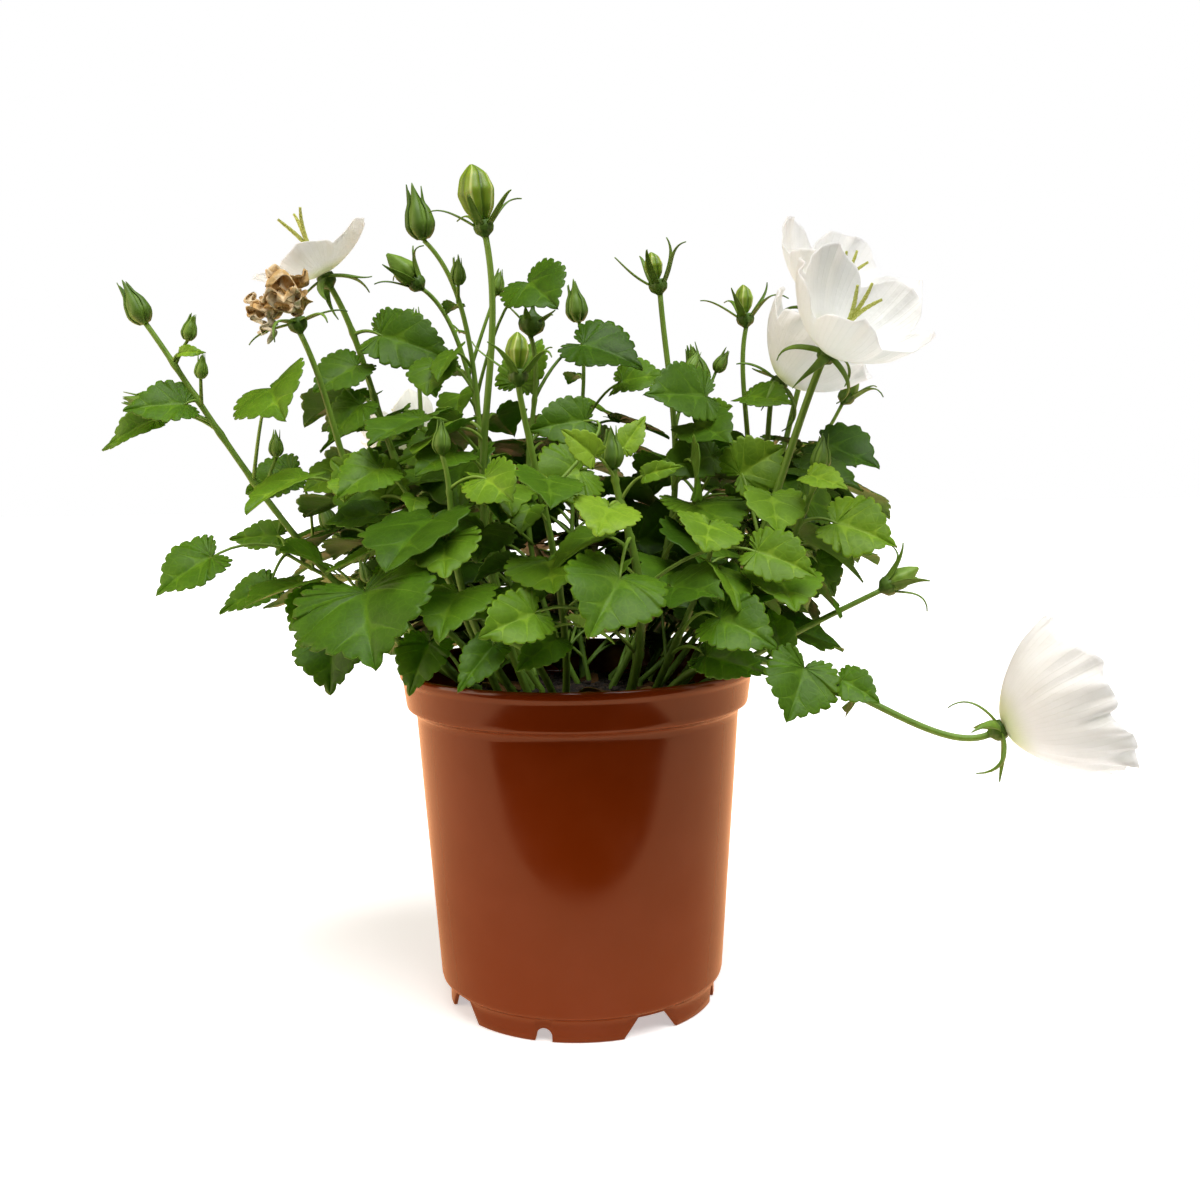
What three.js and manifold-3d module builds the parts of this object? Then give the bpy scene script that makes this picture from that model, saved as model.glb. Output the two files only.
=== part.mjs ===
// A Carpathian bellflower in flower, in its plastic nursery pot.
// Millimetres, +Z up, front towards -Y. The origin is on the ground, on the pot's axis.
// Each leafy stem is one solid that stands in its own hole in the soil. A bloom's petals and
// its style are solids of their own, and they sit just clear of the green calyx that holds them.
import * as THREE from "three";
import { mergeVertices } from "three/addons/utils/BufferGeometryUtils.js";
import Module from "manifold-3d";

const wasm = await Module();
wasm.setup();

// Driving dimensions of the pot
const POT_HEIGHT = 115;
const RIM_RADIUS = 60;
const BAND_FOOT_HEIGHT = 102;
const BAND_FOOT_RADIUS = 57.8;
const BODY_TOP_RADIUS = 54.8;
const BODY_FOOT_RADIUS = 48.8;
const FOOT_RADIUS = 45.7;
const FOOT_HEIGHT = 8;
const WALL = 1.2;
const POT_SIDES = 32;

// The four arches that part the foot ring into feet, and the round notch in each foot
const ARCH = { count: 4, firstTurn: 29, width: 20, topWidth: 10, height: 6.4 };
const NOTCH = { turnFromArch: 45, width: 5.4, height: 4.4 };
const DRAIN_HOLE = { radius: 4, ring: 34 };

// The soil, and the holes that the stems stand in
const SOIL_HEIGHT = 104;
const SOIL_SIDES = 16;
const SOIL_ROUGHNESS = 0.8;
const CROWN_HEIGHT = 106;
const ROOT_DEPTH = 10;
const GAP = 0.3;
const SLIVER = 0.08;

// Stems, stalks and blades
const STEM_SIDES = 5;
const STEM_STEPS = 5;
const STALK = { radius: 0.55, arch: 0.14, setback: 1.5, straightBelow: 12 };
const BLADE_THICKNESS = 0.7;
const BLADE_CENTRE = 0.35;
const TOOTH = 0.07;
const GOLDEN_ANGLE = THREE.MathUtils.degToRad(137.5);

// The calyx: its height and its radius low down, at its widest and at its rim; and its sepals,
// which leave the stem's direction by an angle from the first to the second, and curl by a third
const CALYX = { depth: 5, waist: 2.7, radius: 3.1, rim: 2.8 };
const SEPAL = { width: 2.2, thickness: 0.9, bends: [0.35, 2.05], curl: 0.4 };

// The petals: how wide the cup is at its base, how round it is below, how late it rises and how
// sharp the gaps between its lobes are
const PETAL = { thickness: 0.8, base: 0.13, round: 0.9, rise: 1.25, sharpness: 1.6 };
const STIGMA = { width: 1.1, thickness: 0.9 };
const SPIKE_END = [0.25, 0.6];

const colours = {
  pot: { color: 0x9c5430, roughness: 0.32, metalness: 0 },
  soil: { color: 0x1c1511, roughness: 0.95, metalness: 0 },
  foliage: { color: 0x4f7f25, roughness: 0.55, metalness: 0 },
  petal: { color: 0xf4f5ef, roughness: 0.5, metalness: 0 },
  limeBud: { color: 0x98b83c, roughness: 0.45, metalness: 0 },
  style: { color: 0xc9cf5e, roughness: 0.6, metalness: 0 },
  withered: { color: 0xb18a52, roughness: 0.8, metalness: 0 },
};

// The stems: each one's radius at the crown and at the tip; its head, and the point that the head
// reaches to; how many leaves grow on it by rule, from where to where along it (0 is the crown, 1
// the tip); and its route: where it leaves the crown, two points that it passes, and its tip.
const stems = [
  { name: "far_left", radii: [1.6, 1.1], head: "bud", reach: [-148, 6, 243], leaves: [1, 0.2, 0.3],
    route: [[-34, 4], [-81, 6, 142], [-117, 6, 191], [-142, 6, 231]] },
  { name: "spent", radii: [1.5, 1.1], head: "withered", reach: [-90, -18, 240], leaves: [1, 0.2, 0.4],
    route: [[-22, 0], [-62, -8, 153], [-76, -14, 191], [-86, -18, 225]] },
  { name: "saucer", radii: [1.5, 1.2], head: "saucer", reach: [-89, 5, 260], leaves: [0, 0, 0],
    route: [[-16, 10], [-53, 12, 164], [-68, 10, 208], [-80, 7, 242]] },
  { name: "upright_left", radii: [1.3, 0.9], head: "bud", reach: [-50, -8, 270], leaves: [1, 0.3, 0.7],
    route: [[-12, -2], [-28, -6, 156], [-32, -8, 213], [-47, -8, 255]] },
  { name: "nodding_left", radii: [1.3, 0.9], head: "openingBud", reach: [-62, 14, 254], leaves: [0, 0, 0],
    route: [[-14, 12], [-26, 10, 160], [-35, 14, 211], [-50, 14, 242]] },
  { name: "tall_lime", radii: [1.6, 1.2], head: "limeBud", reach: [-30, -26, 275], leaves: [2, 0.2, 0.5],
    route: [[-16, -14], [-29, -22, 165], [-26, -26, 210], [-26, -26, 253]] },
  { name: "centre_lime", radii: [1.5, 1.1], head: "limeBud", reach: [-16, -48, 222], leaves: [1, 0.25, 0.4],
    route: [[-4, -20], [-5, -36, 143], [-11, -44, 179], [-16, -48, 206]] },
  { name: "capsule", radii: [1.2, 1.0], head: "capsule", reach: [-13, 20, 237], leaves: [1, 0.3, 0.5],
    route: [[0, 12], [-16, 18, 159], [-14, 20, 198], [-14, 20, 226]] },
  { name: "rear_bud", radii: [1.1, 0.8], head: "bud", reach: [1, 46, 246], leaves: [2, 0.3, 0.7],
    route: [[4, 20], [-1, 34, 158], [3, 42, 198], [3, 46, 233]] },
  { name: "right_lime", radii: [1.5, 1.1], head: "limeBud", reach: [27, 4, 252], leaves: [1, 0.25, 0.5],
    route: [[12, 4], [32, 4, 156], [34, 4, 198], [30, 4, 238]] },
  { name: "right_lime_low", radii: [1.3, 1.0], head: "limeBud", reach: [61, 30, 244], leaves: [1, 0.3, 0.6],
    route: [[22, 12], [58, 24, 151], [62, 28, 193], [62, 30, 229]] },
  { name: "bell_low", radii: [1.4, 1.1], head: "bell", reach: [82, 10, 220], leaves: [0, 0, 0],
    route: [[28, 2], [57, 10, 148], [66, 12, 179], [69, 15, 206]] },
  { name: "cup_front", radii: [1.7, 1.4], head: "cup", reach: [87, -36, 227], leaves: [1, 0.25, 0.45],
    route: [[32, -12], [52, -20, 138], [66, -26, 177], [79, -25, 213]] },
  { name: "cup_rear", radii: [1.4, 1.2], head: "wideCup", reach: [98, 33, 247], leaves: [1, 0.3, 0.5],
    route: [[36, 14], [64, 28, 150], [79, 44, 192], [90, 42, 231]] },
  { name: "thin_right", radii: [1.0, 0.8], head: "openingBud", reach: [105, 44, 212], leaves: [2, 0.2, 0.6],
    route: [[26, 20], [56, 36, 144], [79, 40, 172], [99, 44, 202]] },
  { name: "bright_shoot", radii: [1.7, 0.9], head: "bud", reach: [77, -38, 189], leaves: [1, 0.3, 0.5],
    route: [[42, -14], [58, -32, 137], [68, -36, 158], [76, -38, 179]] },
  { name: "right_bud", radii: [1.3, 1.0], head: "openingBud", reach: [106, -42, 149], leaves: [0, 0, 0],
    route: [[34, -18], [61, -34, 124], [76, -40, 133], [94, -42, 142]] },
  { name: "far_right", radii: [1.5, 1.2], head: "farBell", reach: [141, -62, 108], leaves: [0, 0, 0],
    route: [[26, -30], [58, -50, 122], [94, -57, 107], [123, -60, 100]] },
  { name: "twin_buds", radii: [1.2, 0.8], head: "bud", reach: [43, 38, 222], leaves: [2, 0.3, 0.6],
    route: [[12, 24], [42, 36, 148], [45, 36, 184], [47, 38, 208]] },
  { name: "front_shoot", radii: [2.0, 1.2], head: "bud", reach: [11, -52, 192], leaves: [0, 0, 0],
    route: [[16, -28], [20, -44, 139], [16, -50, 163], [12, -52, 181]] },
  { name: "left_shoot", radii: [1.6, 0.9], head: "bud", reach: [-39, -52, 195], leaves: [1, 0.2, 0.4],
    route: [[-18, -28], [-34, -44, 142], [-37, -50, 167], [-39, -52, 186]] },
  { name: "cream_rear", radii: [1.3, 1.1], head: "paleBell", reach: [-66, 72, 198], leaves: [3, 0.2, 0.8],
    route: [[-14, 28], [-41, 46, 149], [-54, 56, 168], [-60, 60, 180]] },
  { name: "rear_left_bud", radii: [1.2, 0.9], head: "bud", reach: [-55, 32, 236], leaves: [1, 0.2, 0.5],
    route: [[-26, 20], [-48, 28, 163], [-54, 32, 198], [-55, 32, 224]] },
  { name: "big_leaf_shoot", radii: [1.5, 0.9], head: "bud", reach: [-63, -58, 155], leaves: [0, 0, 0],
    route: [[-30, -22], [-47, -44, 128], [-54, -54, 141], [-61, -58, 149]] },
  { name: "low_left", radii: [1.4, 0.7], head: "none", reach: null, leaves: [1, 0.3, 0.5],
    route: [[-40, 14], [-66, 18, 131], [-88, 22, 144], [-107, 22, 156]] },
  { name: "low_front", radii: [1.5, 0.8], head: "none", reach: null, leaves: [0, 0, 0],
    route: [[-6, -36], [-14, -50, 125], [-20, -60, 131], [-25, -64, 136]] },
  { name: "mid_right", radii: [1.5, 0.8], head: "none", reach: null, leaves: [1, 0.3, 0.5],
    route: [[24, -22], [35, -40, 136], [40, -46, 151], [43, -48, 165]] },
  { name: "left_fan", radii: [1.6, 0.8], head: "none", reach: null, leaves: [1, 0.3, 0.5],
    route: [[-26, -10], [-39, -26, 143], [-47, -32, 164], [-55, -34, 179]] },
  { name: "back_left", radii: [1.5, 0.8], head: "bud", reach: [-95, 54, 168], leaves: [4, 0.2, 0.95],
    route: [[-30, 32], [-58, 42, 136], [-76, 48, 148], [-90, 52, 158]] },
  { name: "back_middle", radii: [1.6, 0.8], head: "bud", reach: [-5, 73, 196], leaves: [4, 0.2, 0.95],
    route: [[2, 36], [2, 56, 142], [0, 66, 164], [-4, 71, 184]] },
  { name: "back_right", radii: [1.5, 0.8], head: "bud", reach: [80, 69, 176], leaves: [4, 0.2, 0.95],
    route: [[26, 34], [48, 54, 138], [62, 62, 154], [74, 66, 166]] },
];

// Leaves that the plant shows clearly from the front: the stem, the place along it, the notch
// where the stalk meets the blade, the blade's tip, and its width for its length.
const namedLeaves = [
  ["saucer", 0.84, [-64, 4, 226], [-38, -2, 217], 0.6],
  ["far_left", 0.58, [-96, -18, 208], [-89, -38, 199], 0.95],
  ["low_left", 0.75, [-97, 14, 180], [-113, 12, 174], 0.85],
  ["far_left", 0.39, [-119, -12, 154], [-136, -18, 142], 0.75],
  ["low_left", 0.9, [-106, 30, 158], [-124, 34, 156], 0.5],
  ["low_left", 0.9, [-104, 6, 142], [-121, 0, 135], 0.6],
  ["far_left", 0.24, [-84, -8, 151], [-94, -24, 157], 0.75],
  ["big_leaf_shoot", 0.67, [-61, -66, 147], [-56, -88, 128], 1.15],
  ["big_leaf_shoot", 0.4, [-73, -50, 134], [-73, -58, 115], 0.85],
  ["far_left", 0.18, [-82, -12, 140], [-92, -22, 129], 0.9],
  ["left_shoot", 0.67, [-38, -60, 161], [-37, -76, 152], 0.95],
  ["front_shoot", 0.16, [-12, -68, 140], [-28, -78, 134], 0.7],
  ["centre_lime", 0.36, [-8, -54, 154], [-6, -72, 145], 1.0],
  ["front_shoot", 0.62, [13, -70, 150], [4, -87, 137], 1.0],
  ["front_shoot", 0.77, [10, -64, 170], [6, -78, 162], 0.95],
  ["left_shoot", 0.81, [-26, -54, 179], [-17, -64, 171], 0.85],
  ["left_fan", 0.98, [-59, -40, 182], [-71, -50, 175], 0.85],
  ["left_fan", 0.78, [-61, -22, 172], [-78, -18, 185], 0.85],
  ["spent", 0.49, [-79, 6, 180], [-91, 2, 174], 1.0],
  ["saucer", 0.64, [-72, 4, 216], [-85, -3, 206], 0.85],
  ["saucer", 0.5, [-70, 0, 203], [-81, -4, 191], 0.8],
  ["nodding_left", 0.61, [-14, 8, 243], [-4, -4, 233], 1.0],
  ["capsule", 0.74, [4, 30, 224], [25, 24, 215], 0.9],
  ["capsule", 0.55, [-19, 26, 210], [-10, 36, 226], 0.7],
  ["centre_lime", 0.6, [4, -26, 196], [-14, -30, 193], 0.7],
  ["right_lime", 0.55, [44, -4, 204], [22, -14, 203], 0.75],
  ["right_lime", 0.34, [46, -6, 184], [26, -14, 180], 0.55],
  ["cup_front", 0.5, [54, -16, 178], [69, -14, 187], 0.9],
  ["bell_low", 0.62, [60, 8, 204], [73, -4, 200], 0.7],
  ["twin_buds", 0.73, [47, 26, 196], [56, 18, 201], 0.9],
  ["mid_right", 0.83, [40, -54, 164], [37, -68, 156], 1.0],
  ["front_shoot", 0.39, [54, -56, 156], [71, -62, 149], 0.7],
  ["bright_shoot", 0.75, [81, -38, 163], [99, -44, 156], 0.85],
  ["mid_right", 0.21, [42, -64, 137], [57, -74, 131], 0.85],
  ["far_right", 0.38, [67, -64, 122], [60, -72, 107], 0.95],
  ["far_right", 0.52, [86, -48, 112], [84, -36, 104], 0.7],
  ["far_right", 0.3, [62, -50, 126], [60, -46, 138], 0.7],
  ["far_right", 0.44, [78, -64, 118], [88, -70, 112], 0.7],
  ["bright_shoot", 0.6, [78, -22, 150], [84, -20, 138], 0.8],
  ["bright_shoot", 0.82, [74, -22, 170], [86, -14, 164], 0.8],
  ["low_front", 0.91, [-24, -68, 131], [-34, -78, 119], 0.5],
  ["low_front", 0.63, [-6, -58, 131], [-18, -66, 123], 0.6],
  ["left_shoot", 0.3, [-44, -54, 130], [-50, -64, 117], 0.75],
  ["mid_right", 0.15, [39, -50, 124], [58, -64, 118], 0.45],
  ["bright_shoot", 0.93, [72, -44, 178], [82, -52, 173], 0.6],
  ["far_left", 0.77, [-129, 2, 204], [-148, -4, 202], 0.7],
  ["far_left", 0.7, [-140, 8, 200], [-160, 10, 189], 0.4],
  ["far_left", 0.88, [-130, 2, 221], [-121, 0, 221], 0.4],
  ["front_shoot", 0.81, [21, -56, 179], [32, -60, 182], 0.4],
  ["front_shoot", 0.93, [6, -57, 185], [-3, -60, 193], 0.6],
  ["front_shoot", 0.99, [15, -46, 187], [22, -40, 196], 0.5],
  ["upright_left", 0.62, [-44, -10, 215], [-46, -18, 204], 1.0],
  ["nodding_left", 0.42, [-45, 14, 188], [-60, 10, 184], 0.9],
  ["capsule", 0.4, [2, 0, 180], [-14, -8, 173], 1.0],
  ["rear_bud", 0.62, [18, 38, 211], [34, 32, 213], 0.9],
  ["left_fan", 0.29, [-54, -26, 146], [-66, -32, 136], 0.9],
];

// Small buds on stalks of their own: the stem, the place along it, and the bud's two ends.
const sideBuds = [
  ["far_left", 0.87, [-128, 4, 225], [-126, 4, 233]],
  ["far_left", 0.76, [-122, -4, 212], [-121, -5, 219]],
  ["far_left", 0.72, [-137, 4, 204], [-149, 4, 206]],
  ["far_left", 0.55, [-100, 4, 186], [-100, 4, 194]],
  ["upright_left", 0.82, [-36, -12, 240], [-36, -14, 248]],
  ["nodding_left", 0.68, [-26, 18, 240], [-24, 18, 248]],
  ["twin_buds", 0.8, [52, 38, 214], [56, 38, 221]],
  ["right_lime", 0.62, [40, 12, 212], [43, 14, 219]],
];

// The blooms, by the kind of head: radius and depth of the petals, how far they are parted, how
// far they are turned round the stem in degrees, and how far the sepals bend back from them, from
// 0 (along the petals) to 1 (right back towards the stem).
const bloomShapes = {
  saucer: { radius: 20, depth: 10, parting: 0.46, turn: -32, sepalSpread: 0.95 },
  cup: { radius: 23, depth: 24, parting: 0.42, turn: -9, sepalSpread: 0.85 },
  wideCup: { radius: 27, depth: 23, parting: 0.42, turn: 25, sepalSpread: 0.85 },
  bell: { radius: 21, depth: 23, parting: 0.36, turn: 8, sepalSpread: 0.8 },
  paleBell: { radius: 17, depth: 20, parting: 0.42, turn: 0, sepalSpread: 0.7 },
  farBell: { radius: 24, depth: 27, parting: 0.34, turn: -12, sepalSpread: 0.9 },
};
const BLOOM_SIDES = 20;
const BLOOM_STEPS = 2;
const STYLE = { radius: 0.8, column: 9, stigma: 9, spread: 4 };

// Other heads: how far the sepals spread, and their length.
const sepalShapes = {
  limeBud: { spread: 0.26, length: 15 },
  openingBud: { spread: 0.08, length: 12 },
  capsule: { spread: 0.3, length: 7, swelling: 1.45 },
  withered: { spread: 0.62, length: 15 },
  bloom: { length: 15 },
};

// A closed bud, ring by ring: height and radius for a length of 1. The sepals' tips spring from
// between the second ring and the third, and end so far out from the axis and so far along it.
const BUD_RINGS = [[0.3, 0.31], [0.62, 0.25], [0.82, 0.14], [1, 0.05]];
const BUD_TIP = [0.27, 1.22];
const BUD_TIP_THICKNESS = 0.09;

// The bud in an opening calyx, and a bud about to open, in the same way.
const OPENING_RINGS = [[0.5, 0.26], [0.8, 0.16], [1, 0.05]];
const LIME_BUD = {
  sides: 10,
  rib: 0.09,
  rings: [[0, 0.12], [0.22, 0.27], [0.55, 0.34], [0.84, 0.22], [1, 0.06]],
};

// A seeded draw of numbers from 0 to 1, so that the plant grows the same every time.
function seeded(seed) {
  let state = seed;
  return () => {
    state = (state + 0x6d2b79f5) | 0;
    let t = Math.imul(state ^ (state >>> 15), 1 | state);
    t = (t + Math.imul(t ^ (t >>> 7), 61 | t)) ^ t;
    return ((t ^ (t >>> 14)) >>> 0) / 4294967296;
  };
}

const UP = new THREE.Vector3(0, 0, 1);
const VIEWER = new THREE.Vector3(0, -1, 0);
const vector = (p) => new THREE.Vector3(p[0], p[1], p[2] ?? CROWN_HEIGHT);
const mix = THREE.MathUtils.lerp;
const levelAt = (turn) => new THREE.Vector3(Math.cos(turn), Math.sin(turn), 0);
const sum = (...terms) => terms.reduce((s, [v, k]) => s.addScaledVector(v, k), new THREE.Vector3());

// A closed geometry as a solid that can be joined and cut.
function solid(geometry) {
  const bare = new THREE.BufferGeometry().setAttribute("position", geometry.getAttribute("position"));
  if (geometry.index) bare.setIndex(geometry.index);
  const merged = mergeVertices(bare, 1e-4);
  return new wasm.Manifold(
    new wasm.Mesh({
      numProp: 3,
      vertProperties: new Float32Array(merged.attributes.position.array),
      triVerts: new Uint32Array(merged.index.array),
    }),
  );
}

// A geometry from a list of points and a list of triangles between them.
function faceted(points, triangles) {
  const flat = points.flatMap((p) => [p.x, p.y, p.z]);
  const geometry = new THREE.BufferGeometry();
  geometry.setAttribute("position", new THREE.Float32BufferAttribute(flat, 3));
  geometry.setIndex(triangles.flat());
  return geometry;
}

// A named mesh from a solid.
function mesh(name, body, finish) {
  const data = body.getMesh();
  const geometry = new THREE.BufferGeometry();
  geometry.setAttribute("position", new THREE.BufferAttribute(data.vertProperties, 3));
  geometry.setIndex(new THREE.BufferAttribute(data.triVerts, 1));
  geometry.computeVertexNormals();
  const made = new THREE.Mesh(geometry, new THREE.MeshStandardMaterial({ ...finish, flatShading: true }));
  made.name = name;
  return made;
}

// Several solids joined in one.
const joined = (parts) => parts.reduce((all, part) => all.add(part));

// The largest connected body of a solid, without loose scraps or slivers.
function largest(body) {
  return body.decompose().sort((a, b) => b.volume() - a.volume())[0].simplify(SLIVER);
}

// A closed skin, made ring by ring. Every ring is listed counter-clockwise round its own axis.
class Skin {
  points = [];
  triangles = [];

  // Adds a ring of points, and gives their numbers.
  ring(points) {
    const first = this.points.length;
    this.points.push(...points);
    return points.map((_, i) => first + i);
  }

  quad(a, b, c, d) {
    this.triangles.push([a, b, c], [a, c, d]);
  }

  // Closes a ring: at the start of a tube, or at its end.
  cap(ring, atStart = false) {
    for (let i = 1; i + 1 < ring.length; i++) {
      const [b, c] = atStart ? [ring[i + 1], ring[i]] : [ring[i], ring[i + 1]];
      this.triangles.push([ring[0], b, c]);
    }
  }

  // Joins two rings by quads. Quads may be left open, to sprout from, and are then returned.
  band(lower, upper, open = false) {
    const quads = lower.map((a, i) => {
      const next = (i + 1) % lower.length;
      return [a, lower[next], upper[next], upper[i]];
    });
    if (!open) quads.forEach((quad) => this.quad(...quad));
    return quads;
  }

  // A tube that starts from an open quad and closes at its last ring.
  sprout(quad, rings) {
    const last = rings.reduce((lower, points) => {
      const upper = this.ring(points);
      this.band(lower, upper);
      return upper;
    }, quad);
    this.cap(last);
  }

  solid() {
    return solid(faceted(this.points, this.triangles));
  }
}

// Rings of points one after the other, closed at both ends.
function rings(list) {
  const skin = new Skin();
  const made = list.map((points) => skin.ring(points));
  skin.cap(made[0], true);
  for (let i = 0; i + 1 < made.length; i++) skin.band(made[i], made[i + 1]);
  skin.cap(made.at(-1));
  return skin.solid();
}

// The rings of a tube through points, with a radius at each point and a section of a few sides.
// The section is carried along without twisting: its first direction is kept square to the path.
function tubeRings(points, radii, sides) {
  let normal = null;
  return points.map((p, i) => {
    const before = points[Math.max(i - 1, 0)];
    const after = points[Math.min(i + 1, points.length - 1)];
    const tangent = after.clone().sub(before).normalize();
    normal ??= Math.abs(tangent.z) > 0.9 ? new THREE.Vector3(1, 0, 0) : UP.clone();
    normal = normal.clone().addScaledVector(tangent, -normal.dot(tangent)).normalize();
    const across = tangent.clone().cross(normal);
    return Array.from({ length: sides }, (_, j) => {
      const turn = (j / sides) * 2 * Math.PI;
      return sum([p, 1], [normal, radii[i] * Math.cos(turn)], [across, radii[i] * Math.sin(turn)]);
    });
  });
}

const tube = (points, radii, sides) => rings(tubeRings(points, radii, sides));

// The cubic through a route's four points, which it passes at 0, 1/3, 2/3 and 1.
function routePoint(route, t) {
  const knots = [0, 1 / 3, 2 / 3, 1];
  const terms = knots.map((k, i) => {
    const weight = knots.reduce((w, other, j) => (j === i ? w : (w * (t - other)) / (k - other)), 1);
    return [route[i], weight];
  });
  return sum(...terms);
}

// A place on a stem's axis, from 0 at the crown to 1 at its tip. The stem is straight between its
// sections, and what grows from it starts on that axis.
function stemPoint(route, t) {
  const step = Math.min(Math.floor(t * STEM_STEPS), STEM_STEPS - 1);
  const from = routePoint(route, step / STEM_STEPS);
  return from.lerp(routePoint(route, (step + 1) / STEM_STEPS), t * STEM_STEPS - step);
}

// A frame of three directions square to each other, the last along the axis.
function frameAlong(axis) {
  const forward = axis.clone().normalize();
  const guide = Math.abs(forward.z) > 0.9 ? new THREE.Vector3(1, 0, 0) : UP;
  const side = guide.clone().addScaledVector(forward, -guide.dot(forward)).normalize();
  return { forward, side, across: forward.clone().cross(side) };
}

// A point at a height and radius round an axis through origin.
function around(origin, frame, radius, turn, height) {
  return sum(
    [origin, 1],
    [frame.side, radius * Math.cos(turn)],
    [frame.across, radius * Math.sin(turn)],
    [frame.forward, height],
  );
}

// The pot: a thin wall turned round the axis, with a banded rim and a raised floor on a foot ring.
function potSolid() {
  const floorTop = FOOT_HEIGHT + WALL;
  const profile = [
    [0, FOOT_HEIGHT],
    [FOOT_RADIUS - WALL, FOOT_HEIGHT],
    [FOOT_RADIUS - WALL, 0],
    [FOOT_RADIUS, 0],
    [FOOT_RADIUS + 0.6, FOOT_HEIGHT],
    [BODY_FOOT_RADIUS - 0.4, FOOT_HEIGHT + 1],
    [BODY_TOP_RADIUS, BAND_FOOT_HEIGHT - 1.6],
    [BAND_FOOT_RADIUS, BAND_FOOT_HEIGHT + 0.4],
    [RIM_RADIUS - 1, POT_HEIGHT - 3.4],
    [RIM_RADIUS, POT_HEIGHT - 2.4],
    [RIM_RADIUS, POT_HEIGHT - 0.6],
    [RIM_RADIUS - 0.5, POT_HEIGHT],
    [RIM_RADIUS - WALL - 0.8, POT_HEIGHT],
    [BAND_FOOT_RADIUS - WALL, BAND_FOOT_HEIGHT + 1],
    [BODY_TOP_RADIUS - WALL, BAND_FOOT_HEIGHT - 1],
    [BODY_FOOT_RADIUS - WALL - 0.4, floorTop],
    [0, floorTop],
  ].map(([r, z]) => new THREE.Vector2(r, z));
  let pot = solid(new THREE.LatheGeometry(profile, POT_SIDES).rotateX(Math.PI / 2));
  for (let i = 0; i < ARCH.count; i++) {
    const turn = ARCH.firstTurn + (i * 360) / ARCH.count;
    pot = pot.subtract(footCut(archOutline(), turn));
    pot = pot.subtract(footCut(notchOutline(), turn + NOTCH.turnFromArch));
    pot = pot.subtract(drainHole(turn));
  }
  return pot;
}

// The outline of an arch, with slanted sides.
function archOutline() {
  const { width, topWidth, height } = ARCH;
  const outline = new THREE.Shape();
  outline.moveTo(-width / 2, -1);
  outline.lineTo(width / 2, -1);
  outline.lineTo(topWidth / 2, height);
  outline.lineTo(-topWidth / 2, height);
  return outline;
}

// The outline of a notch, with a round top.
function notchOutline() {
  const { width, height } = NOTCH;
  const outline = new THREE.Shape();
  outline.moveTo(-width / 2, -1);
  outline.lineTo(width / 2, -1);
  outline.absarc(0, height - width / 2, width / 2, 0, Math.PI, false);
  return outline;
}

// An outline cut through the foot ring, at a turn in degrees from the front.
function footCut(outline, degrees) {
  const reach = 8;
  const cut = new THREE.ExtrudeGeometry(outline, { depth: reach, bevelEnabled: false, curveSegments: 6 });
  cut.rotateX(Math.PI / 2);
  cut.translate(0, -FOOT_RADIUS + reach / 2, 0);
  cut.rotateZ(THREE.MathUtils.degToRad(degrees));
  return solid(cut);
}

// A drain hole through the floor.
function drainHole(degrees) {
  const hole = new THREE.CylinderGeometry(DRAIN_HOLE.radius, DRAIN_HOLE.radius, 6, 10);
  hole.rotateX(Math.PI / 2);
  hole.translate(0, -DRAIN_HOLE.ring, FOOT_HEIGHT);
  hole.rotateZ(THREE.MathUtils.degToRad(degrees));
  return solid(hole);
}

// The soil: a plug that fills the pot, with a rough top, and a hole for each stem.
function soilSolid() {
  const floor = FOOT_HEIGHT + WALL + GAP;
  const wallGap = WALL + GAP + 0.1;
  const profile = [
    [0, floor],
    [BODY_FOOT_RADIUS - wallGap - 0.8, floor],
    [BODY_TOP_RADIUS - wallGap - 0.3, SOIL_HEIGHT - 4],
    [48, SOIL_HEIGHT - 1.4],
    [36, SOIL_HEIGHT],
    [20, SOIL_HEIGHT],
    [0, SOIL_HEIGHT + 0.4],
  ].map(([r, z]) => new THREE.Vector2(r, z));
  const geometry = new THREE.LatheGeometry(profile, SOIL_SIDES).rotateX(Math.PI / 2);
  const bare = new THREE.BufferGeometry().setAttribute("position", geometry.getAttribute("position"));
  bare.setIndex(geometry.index);
  const merged = mergeVertices(bare, 1e-3);
  const position = merged.getAttribute("position");
  const draw = seeded(5);
  for (let i = 0; i < position.count; i++) {
    const z = position.getZ(i);
    if (z > SOIL_HEIGHT - 2) position.setZ(i, z + (draw() * 2 - 1) * SOIL_ROUGHNESS);
  }
  return plants.reduce((soil, plant) => soil.subtract(stemHole(plant)), solid(merged));
}

// The plain hole that a stem stands in: a prism whose flats clear the stem by the gap.
function stemHole({ route, radii }) {
  const radius = (radii[0] + GAP + 0.05) / Math.cos(Math.PI / STEM_SIDES);
  const { x, y } = route[0];
  const foot = new THREE.Vector3(x, y, CROWN_HEIGHT - ROOT_DEPTH - GAP);
  const mouth = new THREE.Vector3(x, y, CROWN_HEIGHT + 1);
  return tube([foot, mouth], [radius, radius], STEM_SIDES);
}

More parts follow.
